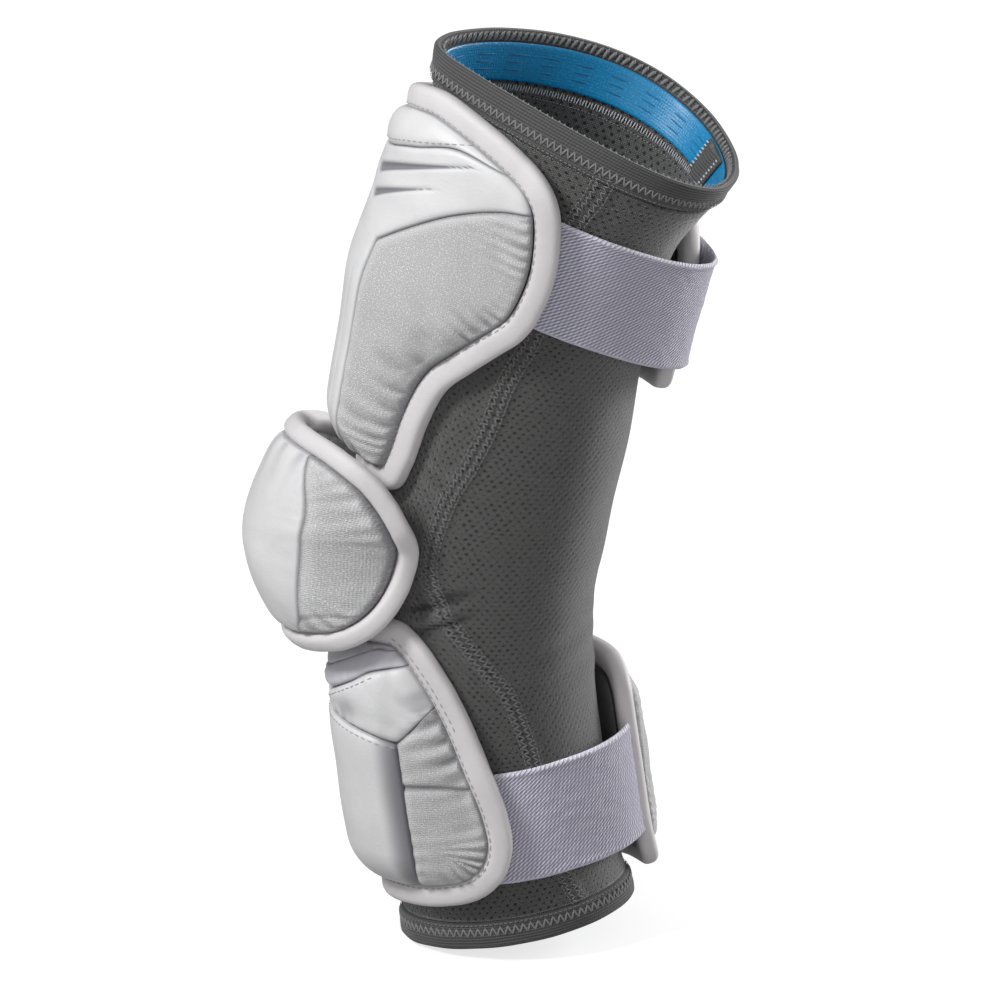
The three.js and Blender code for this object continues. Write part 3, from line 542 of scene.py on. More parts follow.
def grid_quads(rows, columns):
    """The faces of a grid of points."""
    index = np.arange(rows * columns).reshape(rows, columns)
    corners = index[:-1, :-1], index[:-1, 1:], index[1:, 1:], index[1:, :-1]
    return np.stack([corner.ravel() for corner in corners], axis=1)


def slab(name, upper, under, material, places, marks):
    """A closed slab between two grids, joined all round."""
    rows, columns = upper.shape[:2]
    count = rows * columns
    top = grid_quads(rows, columns)
    index = np.arange(count).reshape(rows, columns)
    rim = np.concatenate([index[0, :-1], index[:-1, -1], index[-1, :0:-1], index[:0:-1, 0]])
    ahead = np.roll(rim, -1)
    sides = np.stack([rim + count, ahead + count, ahead, rim], axis=1)
    quads = np.concatenate([top, top[:, ::-1] + count, sides])
    points = np.concatenate([upper.reshape(-1, 3), under.reshape(-1, 3)])
    uv = np.tile(places[..., :2].reshape(-1, 2) * MM, (2, 1))
    doubled = {mark: np.tile(np.asarray(value).ravel(), 2) for mark, value in marks.items()}
    return mesh_object(name, points, quads, material, uv, doubled)


def ring_quads(steps, sides):
    """The faces of a tube that closes both ways."""
    index = np.arange(steps * sides).reshape(steps, sides)
    ahead, up = np.roll(index, -1, axis=0), np.roll(index, -1, axis=1)
    both = np.roll(ahead, -1, axis=1)
    return np.stack([index.ravel(), ahead.ravel(), both.ravel(), up.ravel()], axis=1)


def dress(thing, slot, *nodes):
    """Sets a finished piece on the frame in place of its solids."""
    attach(thing, "root")
    if nodes:
        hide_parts(*nodes)
    return thing


def borders(places):
    """The four seams round a grid of places, each as its distance and the millimetres along it."""
    edges = {"bottom": places[0], "top": places[-1], "near": places[:, 0], "far": places[:, -1]}
    found = {}
    for side, border in edges.items():
        gap, share = nearest(places, border)
        found[side] = (gap, share * steps_of(border[:, :2]).sum())
    return found


def rolled(gap, width, depth):
    """How far a panel rounds down towards a seam."""
    near = np.clip(1 - gap / width, 0, 1)
    return depth * (1 - np.sqrt(1 - near**2 + 1e-9))


def rounded_to_binding(places, top, ring, edge):
    """How far a panel rounds down towards its binding, with its distance from it and the run along it."""
    gap, share = nearest(places, ring)
    depth = np.maximum(top - edge, 0.5)
    drop = rolled(gap, 3.0 + 0.95 * depth, depth)
    return drop, gap, share * steps_of(ring[:, :2]).sum()


def blurred(values, times):
    """A grid of values made smooth."""
    for _ in range(times):
        for axis in (0, 1):
            padded = np.pad(values, [(1, 1) if k == axis else (0, 0) for k in (0, 1)], mode="edge")
            low, mid, high = (np.take(padded, np.arange(values.shape[axis]) + k, axis) for k in (0, 1, 2))
            values = (low + 2 * mid + high) / 4
    return values


def set_cloth(cloth, slack):
    """Makes cloth of a mesh that is held at its seams, a slack larger than they are."""
    modifier = cloth.modifiers.new("cloth", "CLOTH")
    settings = modifier.settings
    settings.quality = 6
    settings.mass = 0.1
    settings.vertex_group_mass = "held"
    settings.tension_stiffness = settings.compression_stiffness = 12
    settings.shear_stiffness = 6
    settings.bending_stiffness = 0.3
    settings.shrink_min = -slack
    settings.use_pressure = True
    settings.uniform_pressure_force = 1.5
    settings.effector_weights.gravity = 0
    modifier.collision_settings.use_collision = False
    modifier.point_cache.frame_start, modifier.point_cache.frame_end = 1, SETTLE_FRAMES


def settle(name, surface, out, step=2.4, slack=0.09, limit=1.0):
    """How far a panel's cloth, cut a little too large for its seams, rises and sinks as it settles.

    The cloth is held at its seams and puffed by its padding for a few frames, with no gravity.
    """
    rows, columns = surface.shape[:2]
    sizes = [steps_of(run).sum() / MM for run in (surface[:, columns // 2], surface[rows // 2])]
    keep_rows, keep_columns = (
        np.linspace(0, count - 1, max(8, int(size / step))).round().astype(int)
        for count, size in zip((rows, columns), sizes)
    )
    coarse = surface[np.ix_(keep_rows, keep_columns)]
    way = out[np.ix_(keep_rows, keep_columns)]
    shape = coarse.shape[:2]
    mesh = bpy.data.meshes.new(name + "_cloth")
    mesh.from_pydata(coarse.reshape(-1, 3).tolist(), [], grid_quads(*shape).tolist())
    cloth = new_object(name + "_cloth", mesh)
    index = np.arange(shape[0] * shape[1]).reshape(shape)
    held = np.unique(np.concatenate([index[0], index[-1], index[:, 0], index[:, -1]]))
    cloth.vertex_groups.new(name="held").add(held.tolist(), 1.0, "REPLACE")
    set_cloth(cloth, slack)
    scene = bpy.context.scene
    for number in range(1, SETTLE_FRAMES + 1):
        scene.frame_set(number)
    graph = bpy.context.evaluated_depsgraph_get()
    settled = bpy.data.meshes.new_from_object(cloth.evaluated_get(graph))
    moved = np.zeros(len(settled.vertices) * 3)
    settled.vertices.foreach_get("co", moved)
    scene.frame_set(1)
    bpy.data.objects.remove(cloth)
    bpy.data.meshes.remove(mesh)
    bpy.data.meshes.remove(settled)
    rise = ((moved.reshape(*shape, 3) - coarse) * way).sum(axis=2) / MM
    rise = limit * np.tanh((rise - blurred(rise, 6)) / limit)
    wide = np.stack([np.interp(np.arange(columns), keep_columns, row) for row in rise])
    full = np.stack([np.interp(np.arange(rows), keep_rows, column) for column in wide.T]).T
    return blurred(full, 5)


def padded_panel(name, slot, area, spacing, pad, rolls, relief):
    """One sewn panel of a pad. rolls gives the rounding at its seams with other panels."""
    top_at, floor_at, edge_at, ring = pad
    even, middle = np.linspace(0, 1, PATCH_SAMPLES), PATCH_SAMPLES // 2
    coarse = area(even, even)[..., :2]
    across, along = steps_of(coarse[middle]).sum(), steps_of(coarse[:, middle]).sum()
    columns, rows = (max(12, int(size / spacing)) for size in (across, along))
    u = lerp(SEAM_GAP / across, 1 - SEAM_GAP / across, np.linspace(0, 1, columns + 1))
    v = lerp(SEAM_GAP / along, 1 - SEAM_GAP / along, np.linspace(0, 1, rows + 1))
    places = area(u, v)
    seams = borders(places)
    top, floor = top_at(places), floor_at(places)
    down, gap, run = rounded_to_binding(places, top, ring, edge_at(places))
    seams["binding"] = (gap, run)
    drop = down**3
    for side, (width, depth) in rolls.items():
        drop = drop + rolled(seams[side][0], width, depth) ** 3
    height = top - np.cbrt(drop)
    folds = relief(places, seams)
    closest = np.minimum.reduce([distance for distance, _ in seams.values()])
    if slot == "textile":
        settled = settle(name, on_flat(places, height + folds), outwards(places))
        folds = folds + settled * smoothstep(closest, 0, 2.0) * (0.1 + 0.9 * np.exp(-gap / 4.5))
    height = np.maximum(height + folds, floor + 0.8)
    upper, under = on_flat(places, height), on_flat(places, floor)
    # The marks seam and fold drive the painted shade and painted highlight in the finishes
    thing = slab(name, upper, under, finish(slot), places, {"seam": closest, "fold": folds})
    dress(thing, slot, name)
    return keep(thing)


# Node trees
def feed(tree, socket, value):
    """Links a value from another node to a socket, or sets a plain one there."""
    if isinstance(value, bpy.types.NodeSocket):
        tree.links.new(value, socket)
    else:
        socket.default_value = value


def add(tree, kind, values=None, **settings):
    """A new node with its settings and the values or links of its inputs."""
    node = tree.nodes.new(kind)
    for key, value in settings.items():
        setattr(node, key, value)
    for socket, value in (values or {}).items():
        feed(tree, node.inputs[socket], value)
    return node


def maths(tree, operation, *values, clamp=False):
    node = add(tree, "ShaderNodeMath", dict(enumerate(values)), operation=operation, use_clamp=clamp)
    return node.outputs[0]


def vector_maths(tree, operation, *values):
    second = "Scale" if operation == "SCALE" else 1
    node = add(tree, "ShaderNodeVectorMath", dict(zip((0, second), values)), operation=operation)
    return node.outputs["Vector"]


def ramp(tree, value, low, high, start=0.0, end=1.0, smoothly=True):
    node = add(tree, "ShaderNodeMapRange", {0: value, 1: low, 2: high, 3: start, 4: end})
    node.interpolation_type = "SMOOTHSTEP" if smoothly else "LINEAR"
    return node.outputs[0]


def mix(tree, share, low, high):
    return add(tree, "ShaderNodeMix", {0: share, 6: low, 7: high}, data_type="RGBA").outputs[2]


def between(tree, share, colour, low, high):
    """A colour made darker or paler by a mask."""
    return mix(tree, share, scaled_colour(colour, low), scaled_colour(colour, high))


def wave(tree, value, length):
    """A sine wave along a value."""
    return maths(tree, "SINE", maths(tree, "MULTIPLY", value, maths(tree, "DIVIDE", 2 * math.pi, length)))


NUMBER = "NodeSocketFloat"


def node_group(name, kind, inputs, outputs):
    """An empty node group. Its sockets have a type, and inputs a default value, by their labels."""
    tree = bpy.data.node_groups.new(name, kind)
    for label, (socket_type, default) in inputs.items():
        socket = tree.interface.new_socket(label, in_out="INPUT", socket_type=socket_type)
        if default is not None:
            socket.default_value = default
    for label, socket_type in outputs.items():
        tree.interface.new_socket(label, in_out="OUTPUT", socket_type=socket_type)
    return tree, tree.nodes.new("NodeGroupInput").outputs, tree.nodes.new("NodeGroupOutput").inputs


def shader_group(name, inputs, outputs):
    """An empty shader node group with named number inputs and outputs."""
    numbers = {label: (NUMBER, default) for label, default in inputs.items()}
    return node_group(name, "ShaderNodeTree", numbers, dict.fromkeys(outputs, NUMBER))


def cloth_place(tree):
    """The cloth's own flat coordinates in millimetres."""
    uv = add(tree, "ShaderNodeUVMap", uv_map="Cloth").outputs[0]
    return vector_maths(tree, "SCALE", uv, 1000.0)


def object_place(tree):
    point = add(tree, "ShaderNodeTexCoord").outputs["Object"]
    return vector_maths(tree, "SCALE", point, 1000.0)


def noise(tree, place, length, detail=2.0, rough=0.5):
    scale = maths(tree, "DIVIDE", 1.0, length) if isinstance(length, bpy.types.NodeSocket) else 1 / length
    scaled = vector_maths(tree, "SCALE", place, scale)
    values = {"Vector": scaled, "Scale": 1.0, "Detail": detail, "Roughness": rough}
    return add(tree, "ShaderNodeTexNoise", values).outputs[0]


def knit_group():
    """Air holes in staggered rows over a fine rib."""
    inputs = {"Column Pitch": 3.2, "Row Pitch": 1.85, "Hole": 0.62, "Rib": 0.8}
    tree, given, result = shader_group("Knit With Air Holes", inputs, ("Height", "Hole Mask", "Yarn"))
    place = cloth_place(tree)
    wander = noise(tree, place, 6.0)
    split = add(tree, "ShaderNodeSeparateXYZ", {0: place})
    x = maths(tree, "ADD", split.outputs[0], maths(tree, "MULTIPLY", wander, 1.4))
    y = maths(tree, "ADD", split.outputs[1], maths(tree, "MULTIPLY", wander, 0.9))
    row = maths(tree, "DIVIDE", y, given["Row Pitch"])
    shift = maths(tree, "MULTIPLY", maths(tree, "PINGPONG", maths(tree, "FLOOR", row), 1.0), 0.5)
    column = maths(tree, "ADD", maths(tree, "DIVIDE", x, given["Column Pitch"]), shift)
    off_x = maths(tree, "SUBTRACT", maths(tree, "FRACT", column), 0.5)
    off_y = maths(tree, "SUBTRACT", maths(tree, "FRACT", row), 0.5)
    far_x = maths(tree, "MULTIPLY", off_x, given["Column Pitch"])
    far_y = maths(tree, "MULTIPLY", maths(tree, "MULTIPLY", off_y, given["Row Pitch"]), 1.2)
    cell = add(tree, "ShaderNodeCombineXYZ", {0: maths(tree, "FLOOR", column), 1: maths(tree, "FLOOR", row)})
    chance = add(tree, "ShaderNodeTexWhiteNoise", {0: cell.outputs[0]}, noise_dimensions="2D").outputs[0]
    squares = [maths(tree, "POWER", far, 2.0) for far in (far_x, far_y)]
    gap = maths(tree, "SQRT", maths(tree, "ADD", *squares))
    size = maths(tree, "MULTIPLY", given["Hole"], ramp(tree, chance, 0.0, 0.8, 0.7, 1.15))
    edge = maths(tree, "DIVIDE", gap, size)
    hole = ramp(tree, edge, 0.55, 1.25, 1.0, 0.0)
    wale = wave(tree, x, given["Rib"])
    slant = maths(tree, "ADD", y, maths(tree, "MULTIPLY", maths(tree, "ABSOLUTE", wale), 0.25))
    course = wave(tree, slant, given["Rib"])
    grain = noise(tree, place, 0.7, 3.0, 0.75)
    yarn = maths(tree, "ADD", maths(tree, "MULTIPLY", wale, maths(tree, "MULTIPLY", course, 0.3)), grain)
    height = maths(tree, "SUBTRACT", maths(tree, "MULTIPLY", yarn, 0.55), maths(tree, "MULTIPLY", hole, 0.4))
    for label, value in (("Height", height), ("Hole Mask", hole), ("Yarn", yarn)):
        tree.links.new(value, result[label])
    return tree


def weave_group():
    """A fine raised weave with bright flecks of thread."""
    inputs = {"Pitch": 1.0, "Fleck": 0.5}
    tree, given, result = shader_group("Flecked Weave", inputs, ("Height", "Flecks"))
    place = cloth_place(tree)
    split = add(tree, "ShaderNodeSeparateXYZ", {0: place})
    warp, weft = (
        wave(tree, maths(tree, "MULTIPLY", maths(tree, way, *split.outputs[:2]), 0.7), given["Pitch"])
        for way in ("ADD", "SUBTRACT")
    )
    cross = maths(tree, "MULTIPLY", warp, weft)
    fleck = noise(tree, place, given["Fleck"], 2.0, 0.65)
    bright = ramp(tree, fleck, 0.47, 0.68)
    height = maths(tree, "ADD", maths(tree, "MULTIPLY", cross, 0.5), bright)
    tree.links.new(height, result["Height"])
    tree.links.new(maths(tree, "ADD", maths(tree, "MULTIPLY", cross, 0.12), bright), result["Flecks"])
    return tree


def twill_group():
    """Slanting ridges of elastic webbing, broken into short floats of yarn."""
    inputs = {"Ridge": 1.45, "Float": 1.7, "Slant": -0.75}
    tree, given, result = shader_group("Webbing Twill", inputs, ("Height", "Ridge Mask"))
    place = cloth_place(tree)
    split = add(tree, "ShaderNodeSeparateXYZ", {0: place})
    run = maths(tree, "ADD", split.outputs[1], maths(tree, "MULTIPLY", split.outputs[0], given["Slant"]))
    ridge = wave(tree, run, given["Ridge"])
    across = maths(tree, "SUBTRACT", split.outputs[0], maths(tree, "MULTIPLY", split.outputs[1], 0.25))
    step = wave(tree, across, given["Float"])
    fuzz = noise(tree, place, 0.5, 2.0, 0.7)
    mask = ramp(tree, maths(tree, "ADD", ridge, maths(tree, "MULTIPLY", step, 0.45)), -1.0, 1.2)
    fuzz = maths(tree, "MULTIPLY", maths(tree, "SUBTRACT", fuzz, 0.5), 0.6)
    mask = maths(tree, "ADD", mask, fuzz, clamp=True)
    tree.links.new(mask, result["Height"])
    tree.links.new(mask, result["Ridge Mask"])
    return tree


def leather_group():
    """Fine pebble grain, with faint creases."""
    inputs = {"Pebble": 0.9, "Crease": 14.0}
    tree, given, result = shader_group("Leather Grain", inputs, ("Height", "Tone"))
    place = object_place(tree)
    scaled = vector_maths(tree, "SCALE", place, maths(tree, "DIVIDE", 1.0, given["Pebble"]))
    values = {"Vector": scaled, "Scale": 1.0}
    pebble = add(tree, "ShaderNodeTexVoronoi", values, feature="SMOOTH_F1").outputs[0]
    soft = noise(tree, place, given["Crease"], 4.0, 0.55)
    height = maths(tree, "ADD", maths(tree, "MULTIPLY", pebble, 0.5), soft)
    tree.links.new(height, result["Height"])
    tree.links.new(soft, result["Tone"])
    return tree


def painted_light_group():
    """Shade that gathers in a seam and the paler shoulder beside it, from the distance to the seam."""
    inputs = {"Shade Reach": 0.7, "Shoulder Start": 1.0, "Shoulder End": 3.5}
    tree, given, result = shader_group("Painted Shade And Highlight", inputs, ("Shade", "Shoulder", "Hollow Shade", "Crest Highlight"))
    # Painted shade in the hollows of the relief and a painted highlight on its crests
    fold = add(tree, "ShaderNodeAttribute", attribute_name="fold").outputs["Fac"]
    tree.links.new(ramp(tree, fold, -1.2, 0.0, 1.0, 0.0), result["Hollow Shade"])
    tree.links.new(ramp(tree, fold, 0.2, 1.4), result["Crest Highlight"])
    # Painted shade near a seam and a painted highlight on the band beside it
    gap = add(tree, "ShaderNodeAttribute", attribute_name="seam").outputs["Fac"]
    shade = ramp(tree, gap, 0.0, given["Shade Reach"], 1.0, 0.0)
    rise = ramp(tree, gap, 0.0, given["Shoulder Start"])
    fall = ramp(tree, gap, given["Shoulder Start"], given["Shoulder End"], 1.0, 0.0)
    tree.links.new(shade, result["Shade"])
    tree.links.new(maths(tree, "MULTIPLY", rise, fall), result["Shoulder"])
    return tree


GROUPS = {}
MATERIALS = {}
GROUP_MAKERS = {
    "knit": knit_group, "weave": weave_group, "twill": twill_group,
    "leather": leather_group, "seam": painted_light_group,
}


def use_group(tree, key, **values):
    """The outputs of a shader group, which is made when it is first used."""
    if key not in GROUPS:
        GROUPS[key] = GROUP_MAKERS[key]()
    node = tree.nodes.new("ShaderNodeGroup")
    node.node_tree = GROUPS[key]
    for label, value in values.items():
        node.inputs[label.replace("_", " ")].default_value = value
    return node.outputs


def srgb(red, green, blue):
    """A colour of 0 to 255 parts as the shader reads it."""
    parts = [part / 255 for part in (red, green, blue)]
    return (*(part / 12.92 if part <= 0.04045 else ((part + 0.055) / 1.055) ** 2.4 for part in parts), 1.0)


def new_material(name, roughness, sheen=0.0, coat=0.0):
    material = bpy.data.materials.new(name)
    material.use_nodes = True
    tree = material.node_tree
    shader = tree.nodes["Principled BSDF"]
    shader.inputs["Roughness"].default_value = roughness
    shader.inputs["Sheen Weight"].default_value = sheen
    shader.inputs["Sheen Roughness"].default_value = 0.4
    shader.inputs["Coat Weight"].default_value = coat
    shader.inputs["Coat Roughness"].default_value = 0.35
    MATERIALS[name] = material
    return tree, shader


def bump(tree, shader, height, strength, distance):
    values = {"Height": height, "Strength": strength, "Distance": distance * MM}
    node = add(tree, "ShaderNodeBump", values)
    tree.links.new(node.outputs[0], shader.inputs["Normal"])


def sleeve_finishes(colours):
    """The knit, the hems, the thread and the band inside the top opening."""
    knit_colour, hole_shade_colour = tuple(colours.knit), tuple(colours.knit_hole_shade)
    tree, shader = new_material("knit", 0.85, sheen=0.9)
    knit = use_group(tree, "knit")
    tone = between(tree, ramp(tree, knit["Yarn"], 0.2, 0.85), knit_colour, 0.3, 2.0)
    # Painted shade: the air holes and the hollows of the sleeve's creases are darkened towards the hole shade
    # colour
    crease_shade = maths(tree, "MULTIPLY", use_group(tree, "seam")["Hollow Shade"], 0.8)
    tone = mix(tree, knit["Hole Mask"], mix(tree, crease_shade, tone, hole_shade_colour), hole_shade_colour)
    feed(tree, shader.inputs["Base Color"], tone)
    bump(tree, shader, knit["Height"], 1.0, 0.5)

    tree, shader = new_material("hem", 0.85, sheen=0.25)
    twill = use_group(tree, "twill", Ridge=1.1, Float=0.9, Slant=0.0)
    feed(tree, shader.inputs["Base Color"], between(tree, twill["Ridge Mask"], colours.hem, 0.6, 1.25))
    bump(tree, shader, twill["Height"], 0.7, 0.3)

    threads = {
        "thread": (colours.thread, 1), "pale_thread": (colours.pale_thread, 1),
        "pad_thread": (colours.leather, 0.6), "grip_print": (colours.grip, 0.62),
    }
    for name, (colour, share) in threads.items():
        tree, shader = new_material(name, 0.7, sheen=0.3)
        twist = noise(tree, object_place(tree), 0.35, 1.0)
        spun = between(tree, twist, scaled_colour(colour, share), 0.7, 1.2)
        feed(tree, shader.inputs["Base Color"], spun)

    tree, shader = new_material("grip", 0.38, coat=0.25)
    ribbed = use_group(tree, "weave", Pitch=1.3, Fleck=0.8)
    feed(tree, shader.inputs["Base Color"], between(tree, ribbed["Flecks"], colours.grip, 0.8, 1.15))
    bump(tree, shader, ribbed["Height"], 0.35, 0.2)


def pad_finishes(colours):
    """The backings, the leathers and the woven cloth of the pads."""
    seam_shade_colour, highlight_colour = tuple(colours.seam), tuple(colours.leather)
    tree, shader = new_material("lining", 0.92, sheen=0.4)
    brushed = noise(tree, object_place(tree), 1.1, 4.0, 0.7)
    feed(tree, shader.inputs["Base Color"], between(tree, brushed, colours.lining, 0.7, 1.3))
    bump(tree, shader, brushed, 0.5, 0.3)

    hides = {"leather": (colours.leather, 0.47), "binding": (colours.binding, 0.6), "rib": (colours.rib, 0.5)}
    for name, (colour, rough) in hides.items():
        tree, shader = new_material(name, rough, sheen=0.1, coat=0.05)
        hide = use_group(tree, "leather")
        base = between(tree, ramp(tree, hide["Tone"], 0.3, 0.7), colour, 0.95, 1)
        # Painted shade near the seams and in the hollows of the relief, on all but the binding
        if name != "binding":
            seam = use_group(tree, "seam")
            for mask, share in (("Shade", 0.45), ("Hollow Shade", 0.8)):
                base = mix(tree, maths(tree, "MULTIPLY", seam[mask], share), base, seam_shade_colour)
        feed(tree, shader.inputs["Base Color"], base)
        feed(tree, shader.inputs["Roughness"], ramp(tree, hide["Tone"], 0.2, 0.8, rough - 0.06, rough + 0.08))
        bump(tree, shader, hide["Height"], 0.36, 0.4)

    tree, shader = new_material("textile", 0.7, sheen=0.15)
    weave = use_group(tree, "weave")
    seam = use_group(tree, "seam", Shade_Reach=1.3, Shoulder_Start=1.4, Shoulder_End=4.5)
    base = between(tree, weave["Flecks"], colours.textile, 0.74, 1.28)
    # Painted highlight on the shoulder beside each seam and on fold crests, painted shade in fold hollows and
    # near the seams
    for mask, share, colour in (
        ("Shoulder", 0.4, highlight_colour), ("Crest Highlight", 0.35, highlight_colour),
        ("Hollow Shade", 0.55, seam_shade_colour), ("Shade", 0.55, seam_shade_colour),
    ):
        base = mix(tree, maths(tree, "MULTIPLY", seam[mask], share), base, colour)
    feed(tree, shader.inputs["Base Color"], base)
    bump(tree, shader, weave["Height"], 0.6, 0.35)


def strap_finish(colours):
    tree, shader = new_material("elastic", 0.75, sheen=0.3)
    twill = use_group(tree, "twill")
    cord = maths(tree, "MULTIPLY", use_group(tree, "seam", Shade_Reach=2.2)["Shade"], 0.7)
    base = mix(tree, twill["Ridge Mask"], tuple(colours.elastic_shade), tuple(colours.elastic))
    feed(tree, shader.inputs["Base Color"], mix(tree, cord, base, tuple(colours.elastic)))
    bump(tree, shader, twill["Height"], 1.0, 0.6)


def stage_finish(colours):
    tree, shader = new_material("backdrop", 0.9)
    dust = noise(tree, object_place(tree), 400.0, 2.0)
    feed(tree, shader.inputs["Base Color"], between(tree, dust, colours.floor, 0.38, 0.4))
    seen = tree.nodes.new("ShaderNodeLightPath").outputs["Is Camera Ray"]
    feed(tree, shader.inputs["Emission Color"], mix(tree, seen, (0, 0, 0, 1), tuple(colours.floor)))
    shader.inputs["Emission Strength"].default_value = 0.82


def scaled_colour(colour, share):
    return (*(min(part * share, 1.0) for part in colour[:3]), 1.0)


def finish(name):
    """A finish by its name. All of them are made when the first is asked for."""
    if not MATERIALS:
        for make in (sleeve_finishes, pad_finishes, strap_finish, stage_finish):
            make(bpy.context.scene.arm_pad_colours)
    return MATERIALS[name]


# Geometry node trees
def geometry_tree(name, sockets):
    """A tree that takes lines and gives finished pieces, with its first nodes: the lines and the way out."""
    shape = "NodeSocketGeometry"
    numbers = {label: (NUMBER, default) for label, default in sockets.items()}
    inputs = {"Geometry": (shape, None), **numbers, "Material": ("NodeSocketMaterial", None)}
    tree, given, result = node_group(name, "GeometryNodeTree", inputs, {"Geometry": shape})
    out = add(tree, "GeometryNodeInputNamedAttribute", {"Name": "out"}, data_type="FLOAT_VECTOR").outputs[0]
    curve = add(tree, "GeometryNodeMeshToCurve", {0: given["Geometry"]}).outputs[0]
    return tree, given, result, out, curve


def close_tree(tree, given, result, geometry):
    """Ends a tree with real, smooth geometry in the material given."""
    real = add(tree, "GeometryNodeRealizeInstances", {0: geometry}).outputs[0]
    shaded = add(tree, "GeometryNodeSetShadeSmooth", {"Geometry": real, "Shade Smooth": True}).outputs[0]
    values = {"Geometry": shaded, "Material": given["Material"]}
    feed(tree, result["Geometry"], add(tree, "GeometryNodeSetMaterial", values).outputs[0])
    return tree


def stitch_tree():
    """Stitches laid along lines that carry the way out of the cloth in the attribute out."""
    tree, given, result, out, curve = geometry_tree("Stitches Along Lines", {
        "Pitch": 3.0 * MM, "Length": 2.2 * MM, "Width": 0.6 * MM, "Rise": 0.4 * MM, "Turn": 0.0, "Swing": 0.0,
    })
    values = {"Curve": curve, "Length": given["Pitch"]}
    even = add(tree, "GeometryNodeResampleCurve", values, mode="LENGTH").outputs[0]
    ahead = add(tree, "GeometryNodeInputTangent").outputs[0]
    index = add(tree, "GeometryNodeInputIndex").outputs[0]
    flip = maths(tree, "SUBTRACT", maths(tree, "MULTIPLY", maths(tree, "MODULO", index, 2.0), 2.0), 1.0)
    axes = {"primary_axis": "X", "secondary_axis": "Z"}
    facing = add(tree, "FunctionNodeAxesToRotation", {0: ahead, 1: out}, **axes).outputs[0]
    swing = maths(tree, "ADD", given["Turn"], maths(tree, "MULTIPLY", flip, given["Swing"]))
    swing = add(tree, "ShaderNodeCombineXYZ", {2: swing}).outputs[0]
    turn = add(tree, "FunctionNodeEulerToRotation", {0: swing}).outputs[0]
    turned = add(tree, "FunctionNodeRotateRotation", {0: facing, 1: turn}, rotation_space="LOCAL").outputs[0]
    bead = add(tree, "GeometryNodeMeshUVSphere", {"Segments": 6, "Rings": 4, "Radius": 0.5}).outputs[0]
    values = {0: given["Length"], 1: given["Width"], 2: given["Rise"]}
    size = add(tree, "ShaderNodeCombineXYZ", values).outputs[0]
    shaped = add(tree, "GeometryNodeTransform", {"Geometry": bead, "Scale": size}).outputs[0]
    values = {"Points": even, "Instance": shaped, "Rotation": turned}
    placed = add(tree, "GeometryNodeInstanceOnPoints", values).outputs[0]
    return close_tree(tree, given, result, placed)


def sweep_tree():
    """A rounded edge swept along a closed line, its section turned by the attribute out."""
    tree, given, result, out, curve = geometry_tree("Rounded Edge", {
        "Width": 10 * MM, "Thickness": 7.5 * MM,
        "Pucker": 0.3 * MM, "Pucker Length": 6 * MM, "Fullness": 0.72,
    })
    turned = tree.nodes.new("GeometryNodeSetCurveNormal")
    turned.mode = "FREE"
    feed(tree, turned.inputs[0], curve)
    feed(tree, turned.inputs["Normal"], out)
    ring = add(tree, "GeometryNodeCurvePrimitiveCircle", {"Resolution": 24, "Radius": 1.0}).outputs[0]
    place = add(tree, "GeometryNodeInputPosition").outputs[0]
    squared = {}
    for axis, part in enumerate(add(tree, "ShaderNodeSeparateXYZ", {0: place}).outputs[:2]):
        grown = maths(tree, "POWER", maths(tree, "ABSOLUTE", part), given["Fullness"])
        signed = maths(tree, "MULTIPLY", maths(tree, "SIGN", part), grown)
        squared[axis] = maths(tree, "MULTIPLY", signed, 0.5)
    full_place = add(tree, "ShaderNodeCombineXYZ", squared).outputs[0]
    ring = add(tree, "GeometryNodeSetPosition", {"Geometry": ring, "Position": full_place}).outputs[0]
    values = {0: given["Thickness"], 1: given["Width"], 2: 1.0}
    size = add(tree, "ShaderNodeCombineXYZ", values).outputs[0]
    section = add(tree, "GeometryNodeTransform", {"Geometry": ring, "Scale": size}).outputs[0]
    values = {"Curve": turned.outputs[0], "Profile Curve": section}
    swept = add(tree, "GeometryNodeCurveToMesh", values).outputs[0]
    scaled = vector_maths(tree, "SCALE", place, maths(tree, "DIVIDE", 1.0, given["Pucker Length"]))
    uneven = add(tree, "ShaderNodeTexNoise", {"Vector": scaled, "Scale": 1.0, "Detail": 2.0}).outputs[0]
    normal = add(tree, "GeometryNodeInputNormal").outputs[0]
    lift = maths(tree, "MULTIPLY", maths(tree, "SUBTRACT", uneven, 0.5), given["Pucker"])
    values = {"Geometry": swept, "Offset": vector_maths(tree, "SCALE", normal, lift)}
    return close_tree(tree, given, result, add(tree, "GeometryNodeSetPosition", values).outputs[0])


TREES = {}
TREE_MAKERS = {"stitches": stitch_tree, "sweep": sweep_tree}


def guide_lines(name, lines):
    """Lines of points and outward directions as one mesh of edges. Each is points, outs, closed."""
    points, outs, edges, start = [], [], [], 0
    for line, out, closed in lines:
        count = len(line)
        points.append(line)
        outs.append(out)
        index = np.arange(count if closed else count - 1)
        edges.append(np.stack([index, (index + 1) % count], axis=1) + start)
        start += count
    mesh = bpy.data.meshes.new(name)
    mesh.from_pydata(np.concatenate(points).tolist(), np.concatenate(edges).tolist(), [])
    layer = mesh.attributes.new("out", "FLOAT_VECTOR", "POINT")
    layer.data.foreach_set("vector", np.concatenate(outs).astype(float).ravel())
    return new_object(name, mesh)


